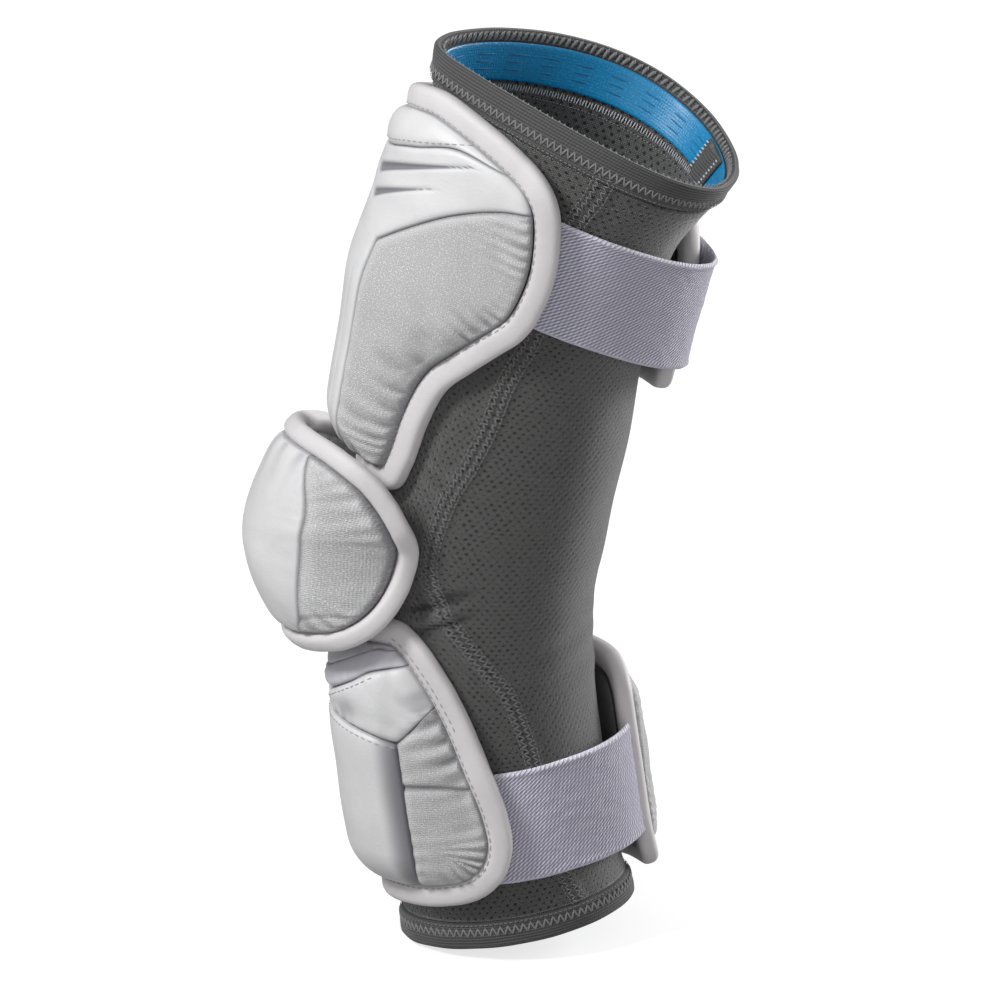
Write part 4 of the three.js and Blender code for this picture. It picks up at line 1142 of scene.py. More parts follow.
def grow(name, tree_name, lines, material, **values):
    """Runs a geometry node tree over lines and keeps the result as a plain mesh."""
    if tree_name not in TREES:
        TREES[tree_name] = TREE_MAKERS[tree_name]()
    tree = TREES[tree_name]
    guide = guide_lines(name + "_guide", lines)
    modifier = guide.modifiers.new(tree_name, "NODES")
    modifier.node_group = tree
    for item in tree.interface.items_tree:
        if item.in_out != "INPUT" or item.name == "Geometry":
            continue
        if item.name == "Material":
            modifier[item.identifier] = material
        elif item.name in values:
            modifier[item.identifier] = float(values[item.name])
    guide.update_tag()
    bpy.context.view_layer.update()
    graph = bpy.context.evaluated_depsgraph_get()
    mesh = bpy.data.meshes.new_from_object(guide.evaluated_get(graph))
    mesh.name = name
    thing = new_object(name, mesh)
    source = guide.data
    bpy.data.objects.remove(guide)
    bpy.data.meshes.remove(source)
    if not mesh.materials:
        mesh.materials.append(material)
    return thing


def outwards(points):
    """The way out of the sleeve at flat places."""
    way = on_flat(points, 20.5) - on_flat(points, 20)
    return way / np.linalg.norm(way, axis=-1, keepdims=True)


def even_places(rows, spacing=1.0):
    """Flat places at an even spacing along rows of angle and at."""
    line = through(flat(rows))
    length = steps_of(line.points[:, :2]).sum()
    return line(np.linspace(0, 1, max(4, int(length / spacing))))


def landed(places, things, lift=0.15, high=75.0):
    """Where lines come down on finished pieces, and the way out of them there."""
    trees = []
    for thing in things:
        thing.data.calc_loop_triangles()
        corners = [list(t.vertices) for t in thing.data.loop_triangles]
        trees.append(BVHTree.FromPolygons([v.co for v in thing.data.vertices], corners))
    starts, ways = on_flat(places, high), -outwards(places)
    points, outs = [], []
    for start, way in zip(starts, ways):
        best = None
        for tree in trees:
            hit, normal, _, distance = tree.ray_cast(Vector(start), Vector(way), 0.2)
            if hit is not None and (best is None or distance < best[2]):
                best = (hit, normal, distance)
        if best is None:
            continue
        points.append(np.array(best[0]) - way * lift * MM)
        outs.append(-way * 0.6 + np.array(best[1]) * 0.4)
    points = np.array(points)
    outs = np.array(outs)
    outs /= np.linalg.norm(outs, axis=1, keepdims=True)
    for _ in range(3):
        points[1:-1] = (points[:-2] + 2 * points[1:-1] + points[2:]) / 4
        outs[1:-1] = (outs[:-2] + 2 * outs[1:-1] + outs[2:]) / 4
    return points, outs, False


def stitch(name, slot, lines, material="thread", **values):
    """A row or rows of stitches as one piece. Sizes are in millimetres."""
    sizes = {label.replace("_", " ").title(): value for label, value in values.items()}
    for label in ("Pitch", "Length", "Width", "Rise"):
        if label in sizes:
            sizes[label] *= MM
    thing = grow(name, "stitches", lines, finish(material), **sizes)
    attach(thing, "root")
    return thing


def binding(name, outline, width, top_at=None):
    """The rounded edge that binds a pad, swept along its outline: on the pad's floor, or under a top."""
    share = np.linspace(0, 1, BINDING_SAMPLES, endpoint=False)
    middle = outline.inside(share, width / 2)

    def points_at(inset):
        places = outline.inside(share, inset)
        if top_at is None:
            return on_flat(places, pad_floor(middle) + BINDING_THICKNESS / 2)
        return on_flat(places, top_at(places) - BINDING_THICKNESS / 2)

    points = points_at(width / 2)
    ahead = np.roll(points, -1, axis=0) - np.roll(points, 1, axis=0)
    out = np.cross(points_at(width) - points_at(0), ahead)
    out /= np.linalg.norm(out, axis=1, keepdims=True)
    out *= np.sign((out * outwards(middle)).sum(axis=1, keepdims=True))
    sizes = {"Width": width * MM, "Thickness": BINDING_THICKNESS * MM}
    thing = grow(name, "sweep", [(points, out, True)], finish("binding"), **sizes)
    dress(thing, "binding", name)
    return keep(thing)


PIECES = {}


def keep(thing):
    PIECES[thing.name.split(".")[0]] = thing
    return thing


# Sleeve
def crease_table(rows, places):
    """Short soft creases in the knit: angle, at, heading in degrees, length, width and height in mm."""
    total = 0
    for angle, at, heading, length, width, height in rows:
        centre = flat([(angle, at)])[0]
        offset = places - centre
        turn = math.radians(heading)
        run = offset[..., 0] * math.cos(turn) + offset[..., 1] * math.sin(turn)
        side = -offset[..., 0] * math.sin(turn) + offset[..., 1] * math.cos(turn)
        side = side - 0.02 * run**2 / max(length, 1)
        total = total + height * np.exp(-((run / length) ** 2)) * np.exp(-((side / width) ** 2))
    return total


ELBOW_CREASES = (
    (66, 0.414, 16, 11, 1.8, -2.0), (68, 0.403, 18, 12, 2.4, 1.6), (70, 0.392, 20, 12, 1.5, -1.8),
    (74, 0.430, 14, 10, 1.8, -1.2), (62, 0.380, 16, 8, 2.0, 1.0),
    (150, 0.345, 4, 22, 5.0, 0.9), (165, 0.385, -3, 26, 6.0, 0.8),
    (178, 0.310, 6, 24, 5.0, 0.7), (200, 0.350, -5, 22, 5.0, 0.8), (58, 0.556, -20, 10, 2.2, 0.6),
    (70, 0.575, -12, 14, 2.6, 0.5), (215, 0.420, 4, 20, 5.0, 0.6), (112, 0.360, 8, 20, 4.0, 0.5),
)


def sleeve_relief(places):
    """How the knit rises over its seams and creases."""
    lift = crease_table(ELBOW_CREASES, places) + 0.12 * rumple(places, 34, 5)
    line = even_places(FLATLOCK, spacing=2.0)
    gap, _ = nearest(places, line)
    return lift + 0.45 * smoothstep(5.0 - gap, 0, 1.6)


def make_sleeve(sizes):
    columns, rows = 208, 210
    gap = CLEARANCE / SLEEVE_LENGTH
    at = np.linspace(BOTTOM_HEM + gap, TOP_HEM - gap, rows)
    angle = np.linspace(-180, 180, columns, endpoint=False)
    places = laid(angle, at)
    folded = places.copy()
    folded[..., 0] = np.where(angle < -60, places[..., 0] + 360 * ARC_PER_DEGREE, places[..., 0])
    lift = sleeve_relief(folded)
    outer = on_flat(places, lift)
    inner = on_flat(places, lift - sizes.sleeve_wall / MM)
    section = np.concatenate([outer, inner[::-1]]).transpose(1, 0, 2)
    steps, sides = section.shape[:2]
    cloth = np.concatenate([places, places[::-1]]).transpose(1, 0, 2)[..., :2] * MM
    # The fold mark drives the painted shade in the knit's creases
    marks = {"fold": np.concatenate([lift, lift[::-1]]).T, "seam": np.full((steps, sides), 9.0)}
    thing = mesh_object("sleeve", section, ring_quads(steps, sides), finish("knit"), marks=marks)
    seam_uv(thing, cloth, steps, sides)
    dress(thing, "knit", "sleeve")
    return keep(thing)


def seam_uv(thing, cloth, steps, sides):
    """Cloth coordinates for a closed tube, whose last column runs on instead of turning back."""
    mesh = thing.data
    layer = mesh.uv_layers.new(name="Cloth")
    index = np.zeros(len(mesh.loops), int)
    mesh.loops.foreach_get("vertex_index", index)
    uv = cloth.reshape(-1, 2)[index]
    quads = uv.reshape(-1, 4, 2)
    span = 360 * ARC_PER_DEGREE * MM
    wraps = quads[..., 0].max(axis=1) - quads[..., 0].min(axis=1) > span / 2
    low = wraps[:, None] & (quads[..., 0] < 0)
    quads[..., 0] = np.where(low, quads[..., 0] + span, quads[..., 0])
    layer.data.foreach_set("uv", quads.ravel())


def tube(name, slot, section, relief=None):
    """A closed ring round the sleeve. section is rows of at and height."""
    section = np.array(section, float)
    columns = 256
    angle = np.linspace(-180, 180, columns, endpoint=False)
    places = np.zeros((columns, len(section), 3))
    places[..., 0] = angle[:, None] * ARC_PER_DEGREE
    places[..., 1] = section[None, :, 0] * SLEEVE_LENGTH
    height = np.broadcast_to(section[None, :, 1], places.shape[:2])
    if relief:
        height = height + relief(places)
    points = on_flat(places, height)
    thing = mesh_object(name, points, ring_quads(columns, len(section)), finish(slot))
    run = run_of(section * (SLEEVE_LENGTH, 1))
    cloth = np.stack([places[..., 0], np.broadcast_to(run[None], places.shape[:2])], axis=-1) * MM
    seam_uv(thing, cloth, columns, len(section))
    return keep(dress(thing, slot, name))


def rounded_section(low, high, inner, outer, bulge=0.0, count=6):
    """A rounded band from low to high along the sleeve and from inner to outer height."""
    radius = (outer - inner) / 2
    reach = radius / SLEEVE_LENGTH
    middle = (outer + inner) / 2

    def round_end(at, start, end):
        turns = (math.radians(turn) for turn in np.linspace(start, end, count + 2)[1:-1])
        return [(at + reach * math.cos(turn), middle + radius * math.sin(turn)) for turn in turns]

    shares = np.linspace(0, 1, 10)
    face = [(lerp(low + reach, high - reach, s), outer + bulge * math.sin(math.pi * s)) for s in shares]
    back = [(lerp(low + reach, high - reach, s), inner) for s in np.linspace(1, 0, 10)]
    return face + round_end(high - reach, 90, -90) + back + round_end(low + reach, -90, -270)


def band_size(low, high, height):
    """A band's flat width and length in metres."""
    angle = np.linspace(-180, 180, 361)
    ring = on_sleeve(angle, (low + high) / 2 + 0 * angle, height)
    return (high - low) * SLEEVE_LENGTH * MM, float(steps_of(ring).sum())


def make_hems(sizes):
    uneven = lambda places: 0.15 * rumple(places, 12, 11)
    for name, low, high in (("top_hem", TOP_HEM, TOP_END), ("bottom_hem", BOTTOM_END, BOTTOM_HEM)):
        hem = tube(name, "hem", rounded_section(low, high, HEM_INNER, HEM_PROUD, 0.25), relief=uneven)
        band_size(low, high, HEM_PROUD)


GRIP_TOP = TOP_END - 3.5 / SLEEVE_LENGTH
GRIP_BOTTOM = GRIP_TOP - 12 / SLEEVE_LENGTH
GRIP_FACE = HEM_INNER - CLEARANCE
GRIP_THICKNESS = 1.2
GRIP_JOIN, GRIP_JOIN_HALF = 166, 13 / ARC_PER_DEGREE / 2


def make_grip(sizes):
    section = rounded_section(GRIP_BOTTOM, GRIP_TOP, GRIP_FACE - GRIP_THICKNESS, GRIP_FACE, count=3)
    band = tube("grip_band", "grip", section)
    size = band_size(GRIP_BOTTOM, GRIP_TOP, GRIP_FACE)
    u, v = np.linspace(0, 1, 28), np.linspace(0, 1, 30)
    angle = -lerp(GRIP_JOIN - GRIP_JOIN_HALF, GRIP_JOIN + GRIP_JOIN_HALF, u)
    at = lerp(GRIP_BOTTOM - CLEARANCE / SLEEVE_LENGTH, GRIP_TOP, v)
    places = laid(angle, at)
    face = GRIP_FACE - GRIP_THICKNESS - CLEARANCE
    round_off = rolled(np.minimum.reduce([gap for gap, _ in borders(places).values()]), 0.8, 0.5)
    fold = 2.0 * np.exp(-(((u - 0.5) / 0.24) ** 4))[None] + 0.25 * rumple(places, 5, 61)
    upper, under = on_flat(places, face), on_flat(places, face - GRIP_THICKNESS - fold + round_off)
    thing = slab("grip_band_join", upper, under, finish("hem"), places, {})
    keep(dress(thing, "knit", "grip_band_join"))
    size = tuple(float(steps_of(run).sum()) for run in (upper[len(v) // 2], upper[:, len(u) // 2]))


# Upper arm pad
UPPER = Outline(UPPER_OUTLINE)
UPPER_PLACES = {
    "bottom_near": (41, 0.542), "crease_near": (94, 0.918), "collar_near": (74, 0.961),
    "top_near": (54, 0.974), "top_far": (-50, 0.945), "collar_far": (-72, 0.944),
    "crease_far": (-107, 0.938), "wing_top": (-160, 0.900), "wing_bottom": (-176, 0.690),
    "bottom_far": (-41, 0.542),
}
SPINE = ((16, 0.576), (16.5, 0.620), (17.5, 0.700), (19, 0.760), (21, 0.805))
CREASE_NEAR = ((21, 0.805), (34, 0.833), (54, 0.870), (72, 0.896))
CREASE_FAR = ((-21, 0.805), (-34, 0.828), (-54, 0.856), (-76, 0.880))
COLLAR = ((48, 0.933), (27, 0.910), (0, 0.888), (-27, 0.896), (-46, 0.908))


def mirrored(rows):
    return [(-angle, at) for angle, at in rows]


def edges_of(outline, places, inset):
    """Makers of an outline's edges and points, moved inwards, from the names of places on it."""
    share = {name: outline.near(*place) for name, place in places.items()}

    def edge(start, end, back=0):
        return outline.stretch(share[start], share[end] - back, inset)

    def point(name):
        return outline.inside(share[name], inset)[None]

    return edge, point


def between_corners(edge, bottom_near, bottom_far, top_far, top_near):
    """A patch that fills an outline between four places on it."""
    return patch(
        edge(bottom_near, bottom_far, 1), edge(bottom_far, top_far),
        edge(top_near, top_far), edge(bottom_near, top_near),
    )


def make_backing(name, area):
    spacing = np.linspace(0, 1, 90), np.linspace(0, 1, 60)
    places = area(*spacing)
    floor = pad_floor(places)
    thing = slab(name, on_flat(places, floor + BACKING), on_flat(places, floor), finish("lining"), places, {})
    dress(thing, "lining", name)
    return keep(thing)


FLUTE_LONG = ((6, 0.866), (18, 0.879), (31.5, 0.894), (50, 0.917), (66, 0.940))
FLUTE_SHORT = ((7, 0.840), (22, 0.858), (35.5, 0.875), (52, 0.896))


def shield_relief(places, seams):
    """Two tapering flutes on each shoulder and a shallow groove beside the spine."""
    lift = 0.25 * rumple(places, 45, 21)
    for rows, width, depth in ((FLUTE_LONG, 1.4, 2.2), (FLUTE_SHORT, 1.2, 1.8)):
        lift = lift + groove(places, rows, width, depth) + groove(places, mirrored(rows), width, depth)
    spine = [(angle - 7, at) for angle, at in SPINE[:4]]
    lift = lift + groove(places, spine, 0.7, 0.5, 0.3) + groove(places, mirrored(spine), 0.7, 0.5, 0.3)
    return lift


def side_relief(places, seams):
    """Gathers where the cloth is drawn into the binding."""
    gap, run = seams["binding"]
    lift = 1.2 * gathers(run, gap, 4.8, 6.5, 31) + 0.5 * rumple(places, 15, 33) * np.exp(-gap / 16)
    return lift + 0.4 * gathers(run, gap, 3.6, 4.0, 35)


def far_relief(places, seams):
    gap, run = seams["binding"]
    return 0.2 * rumple(places, 18, 41) + 0.35 * gathers(run, gap, 5.0, 6.0, 43)


def make_upper_pad(sizes):
    edge, point = edges_of(UPPER, UPPER_PLACES, PANEL_INSET)
    backing_edge, _ = edges_of(UPPER, UPPER_PLACES, BACKING_INSET)
    area = between_corners(backing_edge, "bottom_near", "wing_bottom", "wing_top", "top_near")
    make_backing("upper_pad_backing", area)
    spine_near, spine_far = through(flat(SPINE)), through(flat(mirrored(SPINE)))
    crease_near = through(np.concatenate([flat(CREASE_NEAR), point("crease_near")]))
    crease_far = through(np.concatenate([flat(CREASE_FAR), point("crease_far")]))
    collar_line = through(np.concatenate([point("collar_near"), flat(COLLAR), point("collar_far")]))
    foot = through(flat([SPINE[0], (-SPINE[0][0], SPINE[0][1])]))
    thirds = (5 / 12, 10 / 12)
    ring = UPPER.inside(np.linspace(0, 1, RING_SAMPLES), PANEL_INSET)
    pad = (upper_top, panel_floor, binding_shoulder, ring)
    soft = (sizes.seam_width / MM, sizes.seam_depth / MM)
    crisp = (2.0, 1.4)
    shield = patch(
        foot,
        joined([spine_far, crease_far, edge("crease_far", "collar_far")], thirds),
        collar_line,
        joined([spine_near, crease_near, edge("crease_near", "collar_near")], thirds),
    )
    rolls = {"top": (2.4, 1.8), "near": crisp, "far": crisp}
    padded_panel("upper_pad_shield", "leather", shield, 0.85, pad, rolls, shield_relief)
    collar = patch(
        collar_line,
        edge("collar_far", "top_far"),
        edge("top_near", "top_far"),
        edge("collar_near", "top_near"),
    )
    rolls = {"bottom": (3.4, 2.6)}
    relief = lambda places, seams: 0.15 * rumple(places, 14, 51)
    padded_panel("upper_pad_collar", "leather", collar, 0.8, pad, rolls, relief)
    side = patch(
        through(np.concatenate([point("bottom_near"), flat([SPINE[0]])])),
        spine_near,
        backwards(crease_near),
        edge("bottom_near", "crease_near"),
    )
    rolls = {"top": soft, "far": (2.2, 1.3)}
    padded_panel("upper_pad_side_near", "textile", side, 0.6, pad, rolls, side_relief)
    far = patch(
        joined([
            through(np.concatenate([flat(mirrored(SPINE[:1])), point("bottom_far")])),
            edge("bottom_far", "wing_bottom"),
        ], (2 / 14,)),
        edge("wing_bottom", "wing_top"),
        joined([crease_far, edge("crease_far", "wing_top")], (8 / 14,)),
        spine_far,
    )
    rolls = {"top": soft, "near": (2.2, 1.3)}
    padded_panel("upper_pad_side_far", "textile", far, 1.0, pad, rolls, far_relief)
    binding("upper_pad_binding", UPPER, BINDING_WIDTH)


# Elbow cap
CAP_PLACES = {
    "bottom_near": (42, 0.370), "top_near": (44, 0.571), "top_far": (-44, 0.540), "bottom_far": (-42, 0.348),
}


def cap_floor(v_share, places):
    near = np.minimum(v_share, 1 - v_share) / 0.3
    full = np.where(near >= 1, 1, 1 - (1 - near) ** 2)
    return cap_top(places) - lerp(BINDING_THICKNESS, CAP_WALL, full)


def cap_shell_relief(places, seams):
    gap, run = seams["binding"]
    lift = 0.35 * rumple(places, 30, 61) + 0.5 * gathers(run, gap, 6.5, 6.0, 63)
    for side, seed in (("near", 65), ("far", 67)):
        gap, run = seams[side]
        lift = lift + 0.15 * gathers(run, gap, 4.2, 3.0, seed)
    return lift


def cap_flank_relief(places, seams):
    gap, run = seams["binding"]
    creases = groove(places, ((24, 0.392), (36, 0.405), (48, 0.408)), 1.2, 0.7, 0.6)
    return creases + 0.3 * rumple(places, 20, 71) + 0.9 * gathers(run, gap, 6.0, 5.0, 73)


def make_elbow_cap(sizes):
    edge, _ = edges_of(CAP_RIM, CAP_PLACES, CAP_BINDING_WIDTH - TUCK)
    whole = between_corners(edge, "bottom_near", "bottom_far", "top_far", "top_near")

    def floor_at(places):
        v = np.linspace(0, 1, places.shape[0])[:, None] + 0 * places[..., 0]
        return cap_floor(v, places)

    def part(low, high):
        """A share of the cap, its seams bent towards the middle above the elbow."""

        def place(u, v):
            bend = 0.05 * smoothstep(v, 0.0, 0.55)
            left = low + bend * ((low > 0.1) & (low < 0.5)) - bend * (low > 0.5)
            right = high + bend * (high < 0.5) - bend * ((high > 0.5) & (high < 0.9))
            spots = np.linspace(0, 1, CAP_SPOTS)
            grid = whole(spots, v)
            across = lerp(left[:, None], right[:, None], u[None])
            out = np.zeros(across.shape + (3,))
            for row in range(len(v)):
                for axis in range(3):
                    out[row, :, axis] = np.interp(across[row], spots, grid[row, :, axis])
            return out

        return place

    ring = CAP_RIM.inside(np.linspace(0, 1, RING_SAMPLES), CAP_BINDING_WIDTH - TUCK)
    pad = (cap_top, floor_at, lambda places: cap_top(places) - 2.2, ring)

    crisp = (1.2, 0.5)
    rolls = {"far": crisp}
    side = part(0, CAP_SEAM)
    padded_panel("elbow_cap_side_near", "textile", side, 0.6, pad, rolls, cap_flank_relief)
    rolls = {"near": crisp, "far": crisp}
    shell = part(CAP_SEAM, 1 - CAP_SEAM)
    padded_panel("elbow_cap_shell", "leather", shell, 0.7, pad, rolls, cap_shell_relief)
    rolls = {"near": crisp}
    side = part(1 - CAP_SEAM, 1)
    padded_panel("elbow_cap_side_far", "textile", side, 0.7, pad, rolls, cap_flank_relief)
    binding("elbow_cap_binding", CAP_RIM, CAP_BINDING_WIDTH, cap_top)


# Forearm pad
FOREARM = Outline(FOREARM_OUTLINE)
FOREARM_PLACES = {
    "plate_near": (49, 0.049), "side_near": (76, 0.059), "crown_near": (76, 0.308),
    "rib_low_near": (65, 0.362), "rib_middle_near": (57, 0.384), "top_near": (47, 0.392),
    "top_far": (-47, 0.390), "rib_middle_far": (-58, 0.384), "rib_low_far": (-67, 0.370),
    "crown_far": (-86, 0.335), "wing_top": (-169, 0.286), "wing_bottom": (-174, 0.022),
    "plate_far": (-49, 0.044),
}
PLATE_SIDE = ((49, 0.130), (48.5, 0.200), (48.5, 0.256))
PLATE_TOP = ((39, 0.267), (22, 0.273), (0, 0.270), (-22, 0.273), (-39, 0.267))
CROWN_TOP = ((41, 0.338), (31, 0.322), (11, 0.297), (0, 0.292), (-11, 0.297), (-31, 0.322), (-41, 0.338))
RIB_LINE = ((42, 0.362), (34, 0.354), (20, 0.336), (0, 0.317), (-20, 0.336), (-34, 0.354), (-42, 0.362))


def plate_relief(places, seams):
    # The bevels' sunken relief also gets painted shade through the fold mark
    bevels = sum(0.19 * np.maximum(6.5 - seams[side][0], 0) for side in ("near", "far"))
    return 0.2 * rumple(places, 40, 81) - bevels


def crown_relief(places, seams):
    lift = 0.5 * rumple(places, 16, 83)
    for side, seed in (("top", 85), ("bottom", 87), ("near", 88), ("far", 89)):
        gap, run = seams[side]
        lift = lift + 0.7 * gathers(run, gap, 5.0, 3.4, seed)
    return lift


def rib_relief(places, seams):
    gap, run = seams["top"]
    other, other_run = seams["bottom"]
    return 0.3 * gathers(run, gap, 5.0, 3.0, 91) + 0.3 * gathers(other_run, other, 5.0, 3.0, 93)


def flank_relief(places, seams):
    gap, run = seams["binding"]
    other, other_run = seams["far"]
    lift = 1.4 * gathers(run, gap, 6.4, 8.0, 95) + 0.35 * gathers(other_run, other, 6.0, 5.0, 97)
    fold = groove(places, ((50, 0.204), (62, 0.205), (76, 0.199)), 1.3, 1.5, 0.4)
    return lift + fold + 0.25 * rumple(places, 15, 98)


def make_forearm_pad(sizes):
    edge, point = edges_of(FOREARM, FOREARM_PLACES, PANEL_INSET)
    backing_edge, _ = edges_of(FOREARM, FOREARM_PLACES, BACKING_INSET)
    area = between_corners(backing_edge, "side_near", "wing_bottom", "wing_top", "top_near")
    make_backing("forearm_pad_backing", area)
    ring = FOREARM.inside(np.linspace(0, 1, RING_SAMPLES), PANEL_INSET)
    pad = (forearm_top, panel_floor, binding_shoulder, ring)
    plate_near = through(np.concatenate([point("plate_near"), flat(PLATE_SIDE)]))
    plate_far = through(np.concatenate([point("plate_far"), flat(mirrored(PLATE_SIDE))]))
    corner = PLATE_SIDE[-1]
    plate_top = through(flat([corner, *PLATE_TOP, (-corner[0], corner[1])]))
    plate = patch(edge("plate_near", "plate_far", 1), plate_far, plate_top, plate_near)
    soft = (sizes.seam_width / MM, sizes.seam_depth / MM)
    rolls = {"top": (2.4, 1.7), "near": (1.3, 0.8), "far": (1.3, 0.8)}

    padded_panel("forearm_pad_plate", "leather", plate, 0.7, pad, rolls, plate_relief)
    corner_near = through(np.concatenate([flat([corner]), point("crown_near")]))
    corner_far = through(np.concatenate([flat(mirrored([corner])), point("crown_far")]))
    crown_top = through(np.concatenate([point("rib_low_near"), flat(CROWN_TOP), point("rib_low_far")]))
    half = (0.5,)
    crown = patch(
        plate_top,
        joined([corner_far, edge("crown_far", "rib_low_far")], half),
        crown_top,
        joined([corner_near, edge("crown_near", "rib_low_near")], half),
    )

    rolls = {"bottom": (3.4, 2.2), "top": (4.0, 3.0), "near": (3.4, 2.4), "far": (3.4, 2.4)}
    padded_panel("forearm_pad_crown", "leather", crown, 0.65, pad, rolls, crown_relief)
    rib_line = through(np.concatenate([point("rib_middle_near"), flat(RIB_LINE), point("rib_middle_far")]))
    rolls = {"bottom": (3.6, 2.8), "top": (3.6, 2.8)}

    lower = patch(
        crown_top, edge("rib_middle_far", "rib_low_far"),
        rib_line, edge("rib_low_near", "rib_middle_near"),
    )
    padded_panel("forearm_pad_rib_lower", "rib", lower, 0.6, pad, rolls, rib_relief)
    upper = patch(
        rib_line, edge("top_far", "rib_middle_far"),
        edge("top_near", "top_far"), edge("rib_middle_near", "top_near"),
    )
    padded_panel("forearm_pad_rib_upper", "rib", upper, 0.6, pad, rolls, rib_relief)

    near = patch(
        edge("side_near", "plate_near"),
        plate_near,
        backwards(corner_near),
        edge("side_near", "crown_near"),
    )
    rolls = {"top": soft, "far": (3.2, 3.0)}
    padded_panel("forearm_pad_side_near", "textile", near, 0.6, pad, rolls, flank_relief)
    far = patch(
        edge("plate_far", "wing_bottom"),
        edge("wing_bottom", "wing_top"),
        joined([corner_far, edge("crown_far", "wing_top")], (4 / 14,)),
        plate_far,
    )
    rolls = {"near": (1.8, 1.0)}
    padded_panel("forearm_pad_side_far", "textile", far, 1.0, pad, rolls, far_relief)
    binding("forearm_pad_binding", FOREARM, BINDING_WIDTH)


# Straps
def strap_places(course, landing, columns, rows):
    """Places and heights of a strap's middle layer, and its length in millimetres."""
    course = np.array(course, float)
    angle = np.linspace(course[0, 0], course[-1, 0], columns)
    middle = smooth(course[:, 0], course[:, 1], angle)
    rise = np.maximum(smooth(course[:, 0], course[:, 2], angle), 0)
    stand = CLEARANCE + rise * (landing - CLEARANCE)
    small = 0.01
    ahead = on_sleeve(angle, middle + small, stand) - on_sleeve(angle, middle, stand)
    reach = np.linalg.norm(ahead, axis=1) / small / MM
    v = np.linspace(-0.5, 0.5, rows)[:, None]
    at = middle + v * STRAP_WIDTH / reach
    line = on_sleeve(angle, middle, stand)
    run = run_of(line) / MM
    return np.broadcast_to(angle, at.shape), at, np.broadcast_to(stand, at.shape), run


def make_strap(name, course, landing):
    columns, rows = 190, 40
    angle, at, stand, run = strap_places(course, landing, columns, rows)
    v = np.linspace(0, 1, rows)[:, None]
    edge = np.minimum(v, 1 - v) * STRAP_WIDTH + 0 * at
    ends = np.minimum(run, run[-1] - run)[None] + 0 * at
    rounding = rolled(np.minimum(edge, ends), 0.9, 0.8)
    bead = 0.5 * np.exp(-(((edge - 1.2) / 0.7) ** 2))
    along = np.broadcast_to(run, at.shape)
    sag = 0.25 * rumple(np.stack([along, 3 * v * STRAP_WIDTH + 0 * at], axis=-1), 16, 51)
    ripple = 0.1 * np.sin(2 * math.pi * run / 2.3)[None] * np.exp(-edge / 1.2)
    upper = on_sleeve(angle, at, stand + STRAP_THICKNESS - rounding + bead + ripple + np.abs(sag))
    under = on_sleeve(angle, at, stand + np.minimum(rounding, 0.8))
    places = np.stack([along, v * STRAP_WIDTH + 0 * at], axis=-1)
    thing = slab(name, upper, under, finish("elastic"), places, {"seam": edge})
    dress(thing, "elastic", name)
    return keep(thing)


def make_straps(sizes):
    upper_landing = PAD_SEAT + WING_LIFT + UPPER_WING + CLEARANCE
    lower_landing = PAD_SEAT + WING_LIFT + (BINDING_THICKNESS - STRAP_THICKNESS) / 2
    make_strap("upper_strap", UPPER_COURSE, upper_landing)
    make_strap("lower_strap", LOWER_COURSE, lower_landing)


# Stitching
def shifted(places, shift):
    """A line of flat places moved to its left by a shift in millimetres."""
    ahead = np.gradient(places[:, :2], axis=0)
    ahead /= np.linalg.norm(ahead, axis=1, keepdims=True)
    places[:, 0] -= ahead[:, 1] * shift
    places[:, 1] += ahead[:, 0] * shift
    return places


def sleeve_line(rows, shift=0.0, lift=0.6, spacing=1.0):
    """A line on the knit, moved sideways in the flat."""
    places = shifted(even_places(rows, spacing=spacing), shift)
    return on_flat(places, sleeve_relief(places) + lift), outwards(places), False


def ring_line(at, height, inward=False):
    angle = np.linspace(-180, 180, 400, endpoint=False)
    places = flat([(a, at) for a in angle])
    way = outwards(places)
    return on_flat(places, height), -way if inward else way, True


RUNG = math.pi / 2
LANDING_STEP = 0.8


def on_pad(outline, start, end, distance, *pieces):
    """A line along a pad's outline, dropped on its pieces."""
    run = abs(end - start) * steps_of(outline.points[:, :2]).sum()
    shares = np.linspace(start, end, int(run / LANDING_STEP))
    return landed(outline.inside(shares, distance), [PIECES[name] for name in pieces])


def on_rows(rows, *pieces, shift=0.0):
    """A line through rows of angle and at, dropped on pieces."""
    places = shifted(even_places(rows, spacing=LANDING_STEP), shift)
    return landed(places, [PIECES[name] for name in pieces])


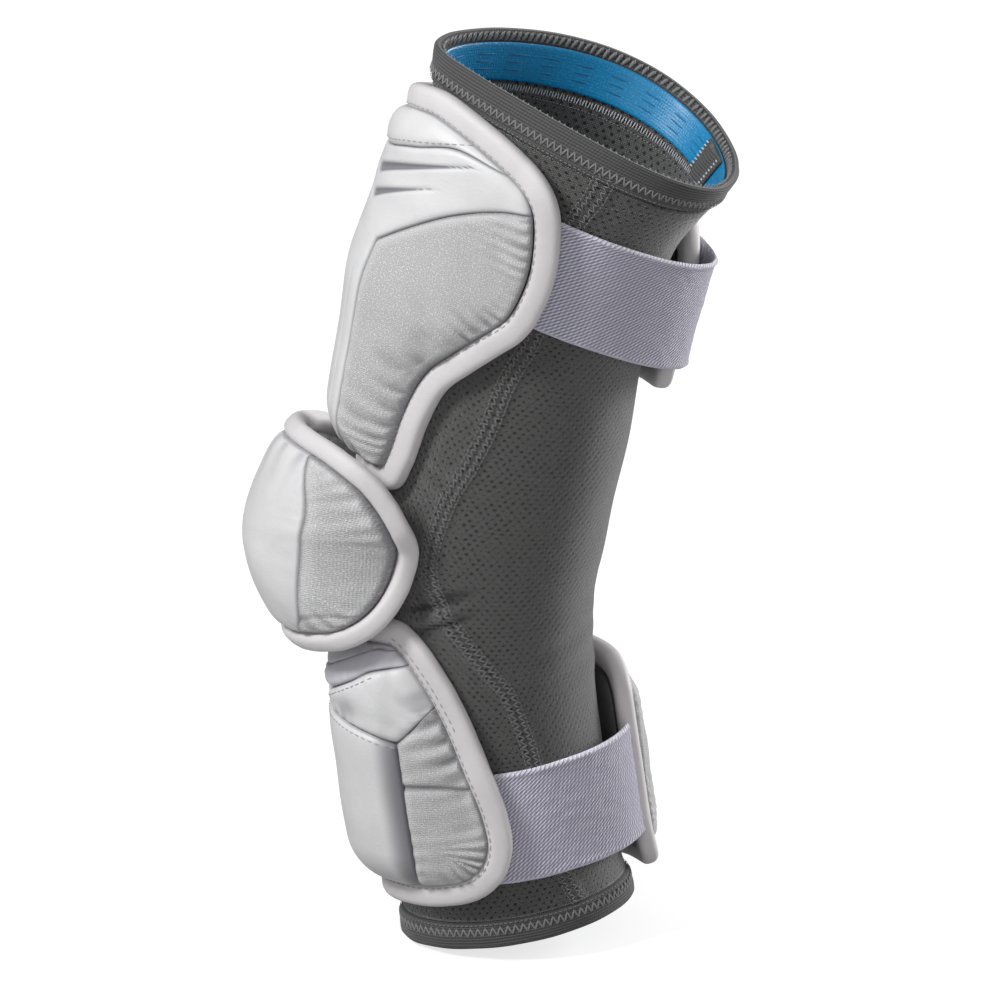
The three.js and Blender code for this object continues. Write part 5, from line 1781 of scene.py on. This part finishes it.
def make_stitching(sizes):
    length, width = sizes.stitch_length / MM, sizes.stitch_width / MM
    lock = {"pitch": length * 1.35, "length": length, "width": width, "rise": 0.5}
    close_lock = {**lock, "pitch": length * 1.3}
    stitch("flatlock_stitches", "knit", [sleeve_line(FLATLOCK, -1.5), sleeve_line(FLATLOCK, 1.5)],
           pitch=1.45, length=2.7, width=0.5, rise=0.45, turn=RUNG - 0.3, swing=0.5)
    stitch("flatlock_edges", "knit", [sleeve_line(FLATLOCK, -3.1), sleeve_line(FLATLOCK, 3.1, lift=0.45)],
           pitch=1.7, length=1.4, width=0.42, rise=0.4, swing=0.3)
    stitch("patch_stitches", "knit", [sleeve_line(rows, lift=0.25) for rows in (PATCH_TOP, PATCH_BOTTOM)],
           pitch=1.9, length=1.5, width=0.4, rise=0.35)
    stitch("flare_stitches", "knit", [sleeve_line(FLARE_SEAM, lift=0.25)],
           pitch=2.2, length=1.2, width=0.35, rise=0.3)
    share = lambda millimetres: millimetres / SLEEVE_LENGTH
    stitch("hem_loops", "hem", [
        ring_line(TOP_HEM + share(4.6), HEM_PROUD + 0.3),
        ring_line(BOTTOM_HEM - share(3.6), HEM_PROUD + 0.3),
    ], pitch=1.5, length=4.6, width=0.85, rise=0.7, turn=RUNG, swing=0.42)
    stitch("hem_stitches", "hem", [
        ring_line(TOP_HEM + share(1.2), HEM_PROUD + 0.3),
        ring_line(BOTTOM_HEM - share(0.9), HEM_PROUD + 0.3),
    ], pitch=2.0, length=1.7, width=0.4, rise=0.35)
    stitch("rim_loops", "hem", [
        ring_line(TOP_END - share(1.9), HEM_INNER - 0.2, True),
    ], pitch=2.8, length=4.8, width=1.7, rise=1.2, turn=RUNG - 0.3, swing=0.12)
    below = GRIP_BOTTOM - share(2.6)
    stitch("grip_stitches", "grip", [ring_line(below, -2.0, True)], "pale_thread",
           pitch=1.2, length=3.4, width=0.55, rise=0.45, turn=RUNG, swing=0.1)
    stitch("grip_edges", "grip", [
        ring_line(below + share(2.3), -2.1, True), ring_line(below - share(2.3), -2.0, True),
    ], pitch=1.5, length=1.2, width=0.5, rise=0.45)
    face = GRIP_FACE - GRIP_THICKNESS - 0.05
    at = np.linspace(GRIP_BOTTOM + share(1.0), GRIP_TOP - share(1.0), 24)
    edges = [flat([(-(GRIP_JOIN + side * GRIP_JOIN_HALF), s) for s in at]) for side in (-0.82, 0.82)]
    stitch("join_stitches", "knit", [
        (on_flat(places, face - 1.7), -outwards(places), False) for places in edges
    ], "pale_thread", pitch=1.5, length=3.0, width=0.75, rise=0.8, turn=RUNG)
    middle = (GRIP_TOP + GRIP_BOTTOM) / 2
    stitch("grip_lines", "grip", [
        ring_line(middle + share(step), face, True) for step in (-2.4, 0.0, 2.4)
    ], "grip_print", pitch=15.0, length=10.0, width=0.75, rise=0.5)

    near = BINDING_WIDTH - 1.9
    stitch("upper_pad_stitches", "binding", [
        on_pad(UPPER, UPPER.near(30, 0.534), UPPER.near(-28, 0.948), near, "upper_pad_binding"),
    ], "pad_thread", **lock)
    ends = CAP_RIM.near(-10, 0.344), CAP_RIM.near(-8, 0.580)
    stitch("elbow_cap_stitches", "binding", [
        on_pad(CAP_RIM, *ends, CAP_BINDING_WIDTH - 1.6, "elbow_cap_binding"),
    ], "pad_thread", **lock)
    stitch("forearm_pad_stitches", "binding", [
        on_pad(FOREARM, FOREARM.near(10, 0.045), FOREARM.near(48, 0.393), near, "forearm_pad_binding"),
        on_pad(FOREARM, FOREARM.near(80, 0.28), FOREARM.near(52, 0.392), near - 2.2, "forearm_pad_binding"),
    ], "pad_thread", **lock)
    stitch("crown_stitches", "leather", [
        on_rows(((48.5, 0.257), *PLATE_TOP, (-48.5, 0.257)), "forearm_pad_plate", shift=1.6),
        on_rows(CROWN_TOP, "forearm_pad_crown", shift=2.0),
    ], "pad_thread", **close_lock)
    stitch("collar_stitches", "leather", [
        on_rows(((60, 0.947), *COLLAR[:4]), "upper_pad_collar", "upper_pad_shield", shift=-1.8),
    ], "pad_thread", **close_lock)


# Stage: lights are a name, a place, a width in metres and a power in watts
LIGHTS = (
    ("key", (-1.25, -0.85, 1.45), 0.5, 32),
    ("fill", (0.0, -1.9, 0.8), 1.1, 6.5),
    ("rim", (1.5, 0.95, 0.55), 0.6, 30),
)
FLOOR_REACH, FLOOR_LINES, FLOOR_DROP = 4, 30, 0.0004
VIEW_MIDDLE = Vector((6.2, 0, 24.3)) * MM
VIEW_WIDTH, CAMERA_LENS, CAMERA_RISE = 0.385, 500, math.radians(18)


def aim(thing, back):
    """Turns a light or the camera against the way back from what it looks at."""
    thing.rotation_mode = "QUATERNION"
    thing.rotation_quaternion = (-back).to_track_quat("-Z", "Y")


def make_stage(sizes):
    scene = bpy.context.scene
    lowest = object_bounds()[0].z
    side = np.linspace(-FLOOR_REACH, FLOOR_REACH, FLOOR_LINES)
    grid = np.zeros((FLOOR_LINES, FLOOR_LINES, 3))
    grid[..., 0], grid[..., 1] = side[None], side[:, None]
    grid[..., 2] = lowest - FLOOR_DROP
    mesh = bpy.data.meshes.new("floor")
    mesh.from_pydata(grid.reshape(-1, 3).tolist(), [], grid_quads(FLOOR_LINES, FLOOR_LINES).tolist())
    mesh.polygons.foreach_set("use_smooth", np.ones(len(mesh.polygons), bool))
    mesh.materials.append(finish("backdrop"))
    new_object("floor", mesh)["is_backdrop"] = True

    world = bpy.data.worlds.new("studio")
    world.use_nodes = True
    background = world.node_tree.nodes["Background"]
    background.inputs[0].default_value = (1, 1, 1, 1)
    background.inputs[1].default_value = sizes.sky
    scene.world = world
    for name, place, width, power in LIGHTS:
        light = bpy.data.lights.new(name, "AREA")
        light.size, light.energy = width, power
        lamp = new_object(name, light)
        lamp.location = place
        aim(lamp, lamp.location - VIEW_MIDDLE)

    camera_data = bpy.data.cameras.new("camera")
    camera = new_object("camera", camera_data)
    camera_data.lens = CAMERA_LENS
    back = Vector((0, -math.cos(CAMERA_RISE), math.sin(CAMERA_RISE)))
    camera.location = VIEW_MIDDLE + back * (camera_data.lens / camera_data.sensor_width * VIEW_WIDTH)
    aim(camera, back)
    camera_data.clip_start, camera_data.clip_end = 0.05, 40
    scene.camera = camera
    scene.view_settings.view_transform = "Standard"


# Settings
def length_property(name, description, default, low, high):
    return bpy.props.FloatProperty(
        name=name, description=description, default=default * MM, min=low * MM, max=high * MM,
        unit="LENGTH", subtype="DISTANCE", precision=5,
    )


def colour_property(name, description, default):
    return bpy.props.FloatVectorProperty(
        name=name, description=description, default=srgb(*default), size=4, min=0, max=1, subtype="COLOR",
    )


class ArmPadSizes(bpy.types.PropertyGroup):
    sleeve_wall: length_property("Sleeve wall", "Thickness of the knit", 1.6, 0.8, 3)
    seam_width: length_property("Seam width", "How far a cloth panel rounds down to its seam", 3.2, 1, 9)
    seam_depth: length_property("Seam depth", "How deep a cloth panel's seam lies", 1.9, 0.5, 6)
    stitch_length: length_property("Stitch length", "Length of one lockstitch", 2.4, 1, 5)
    stitch_width: length_property("Stitch width", "Thickness of the thread", 0.55, 0.2, 1.2)
    sky: bpy.props.FloatProperty(
        name="Soft light", description="Strength of the light from all round",
        default=0.32, min=0, max=3, subtype="FACTOR",
    )


class ArmPadColours(bpy.types.PropertyGroup):
    knit: colour_property("Knit", "Colour of the sleeve", (76, 76, 75))
    # Painted shade inside the air holes, also used for painted shade in the sleeve's creases
    knit_hole_shade: colour_property("Air holes", "Colour in the sleeve's air holes", (14, 14, 15))
    hem: colour_property("Hems", "Colour of the hems", (80, 80, 80))
    thread: colour_property("Thread", "Colour of the sleeve's thread", (128, 128, 128))
    pale_thread: colour_property("Pale thread", "Colour of the thread on the pads", (205, 203, 208))
    lining: colour_property("Lining", "Colour of the pads' backing", (66, 66, 70))
    grip: colour_property("Grip band", "Colour of the band inside the top", (8, 140, 196))
    leather: colour_property("Leather", "Colour of the pads' smooth panels", (220, 220, 221))
    binding: colour_property("Binding", "Colour of the pads' rounded edges", (216, 213, 214))
    rib: colour_property("Ribs", "Colour of the forearm pad's ribs", (206, 205, 212))
    textile: colour_property("Cloth panels", "Colour of the pads' woven panels", (208, 208, 208))
    elastic: colour_property("Strap", "Colour of the strap's ridges", (242, 240, 254))
    elastic_shade: colour_property("Strap shade", "Colour between the strap's ridges", (146, 142, 166))
    # Painted shade colour for the pads' seams and fold hollows
    seam: colour_property("Seams", "Shade deep in the pads' seams", (96, 94, 104))
    floor: colour_property("Floor", "Colour of the stage", (244, 244, 245))


def operator(label, title, note, make):
    """An operator that makes one group of pieces."""

    def execute(self, context):
        make(context.scene.arm_pad_sizes)
        return {"FINISHED"}

    fields = {"bl_idname": f"arm_pad.{label}", "bl_label": title, "__doc__": note, "execute": execute}
    return type(f"ARM_PAD_OT_{label}", (bpy.types.Operator,), fields)


OPERATORS = [
    operator("sleeve", "Sleeve", "Knits the sleeve with its seams and creases", make_sleeve),
    operator("hems", "Hems", "Rolls the sleeve's two hems", make_hems),
    operator("grip", "Grip Band", "Lays the band and its join inside the top opening", make_grip),
    operator(
        "upper_pad", "Upper Arm Pad", "Sews the upper arm pad's panels, backing and binding", make_upper_pad,
    ),
    operator("elbow_cap", "Elbow Cap", "Sews the domed elbow cap", make_elbow_cap),
    operator(
        "forearm_pad", "Forearm Pad", "Sews the forearm pad's panels, backing and binding", make_forearm_pad,
    ),
    operator("straps", "Straps", "Lays the two elastic straps", make_straps),
    operator("stitching", "Stitching", "Runs the rows of stitches", make_stitching),
    operator("stage", "Stage", "Sets the floor, lights and camera", make_stage),
]


class ARM_PAD_PT_panel(bpy.types.Panel):
    """Lists the arm pad's makers and settings."""

    bl_idname = "ARM_PAD_PT_panel"
    bl_label = "Arm Pad"
    bl_space_type = "VIEW_3D"
    bl_region_type = "UI"
    bl_category = "Arm Pad"

    def draw(self, context):
        for step in OPERATORS:
            self.layout.operator(step.bl_idname)
        for settings in (context.scene.arm_pad_sizes, context.scene.arm_pad_colours):
            for name in settings.__annotations__:
                self.layout.prop(settings, name)


CLASSES = [ArmPadSizes, ArmPadColours, *OPERATORS, ARM_PAD_PT_panel]


def register():
    for each in CLASSES:
        bpy.utils.register_class(each)
    bpy.types.Scene.arm_pad_sizes = bpy.props.PointerProperty(type=ArmPadSizes)
    bpy.types.Scene.arm_pad_colours = bpy.props.PointerProperty(type=ArmPadColours)


def unregister():
    del bpy.types.Scene.arm_pad_sizes
    del bpy.types.Scene.arm_pad_colours
    for each in reversed(CLASSES):
        bpy.utils.unregister_class(each)


def main():
    register()
    for step in OPERATORS:
        section, name = step.bl_idname.split(".")
        getattr(getattr(bpy.ops, section), name)()


if __name__ == "__main__":
    main()
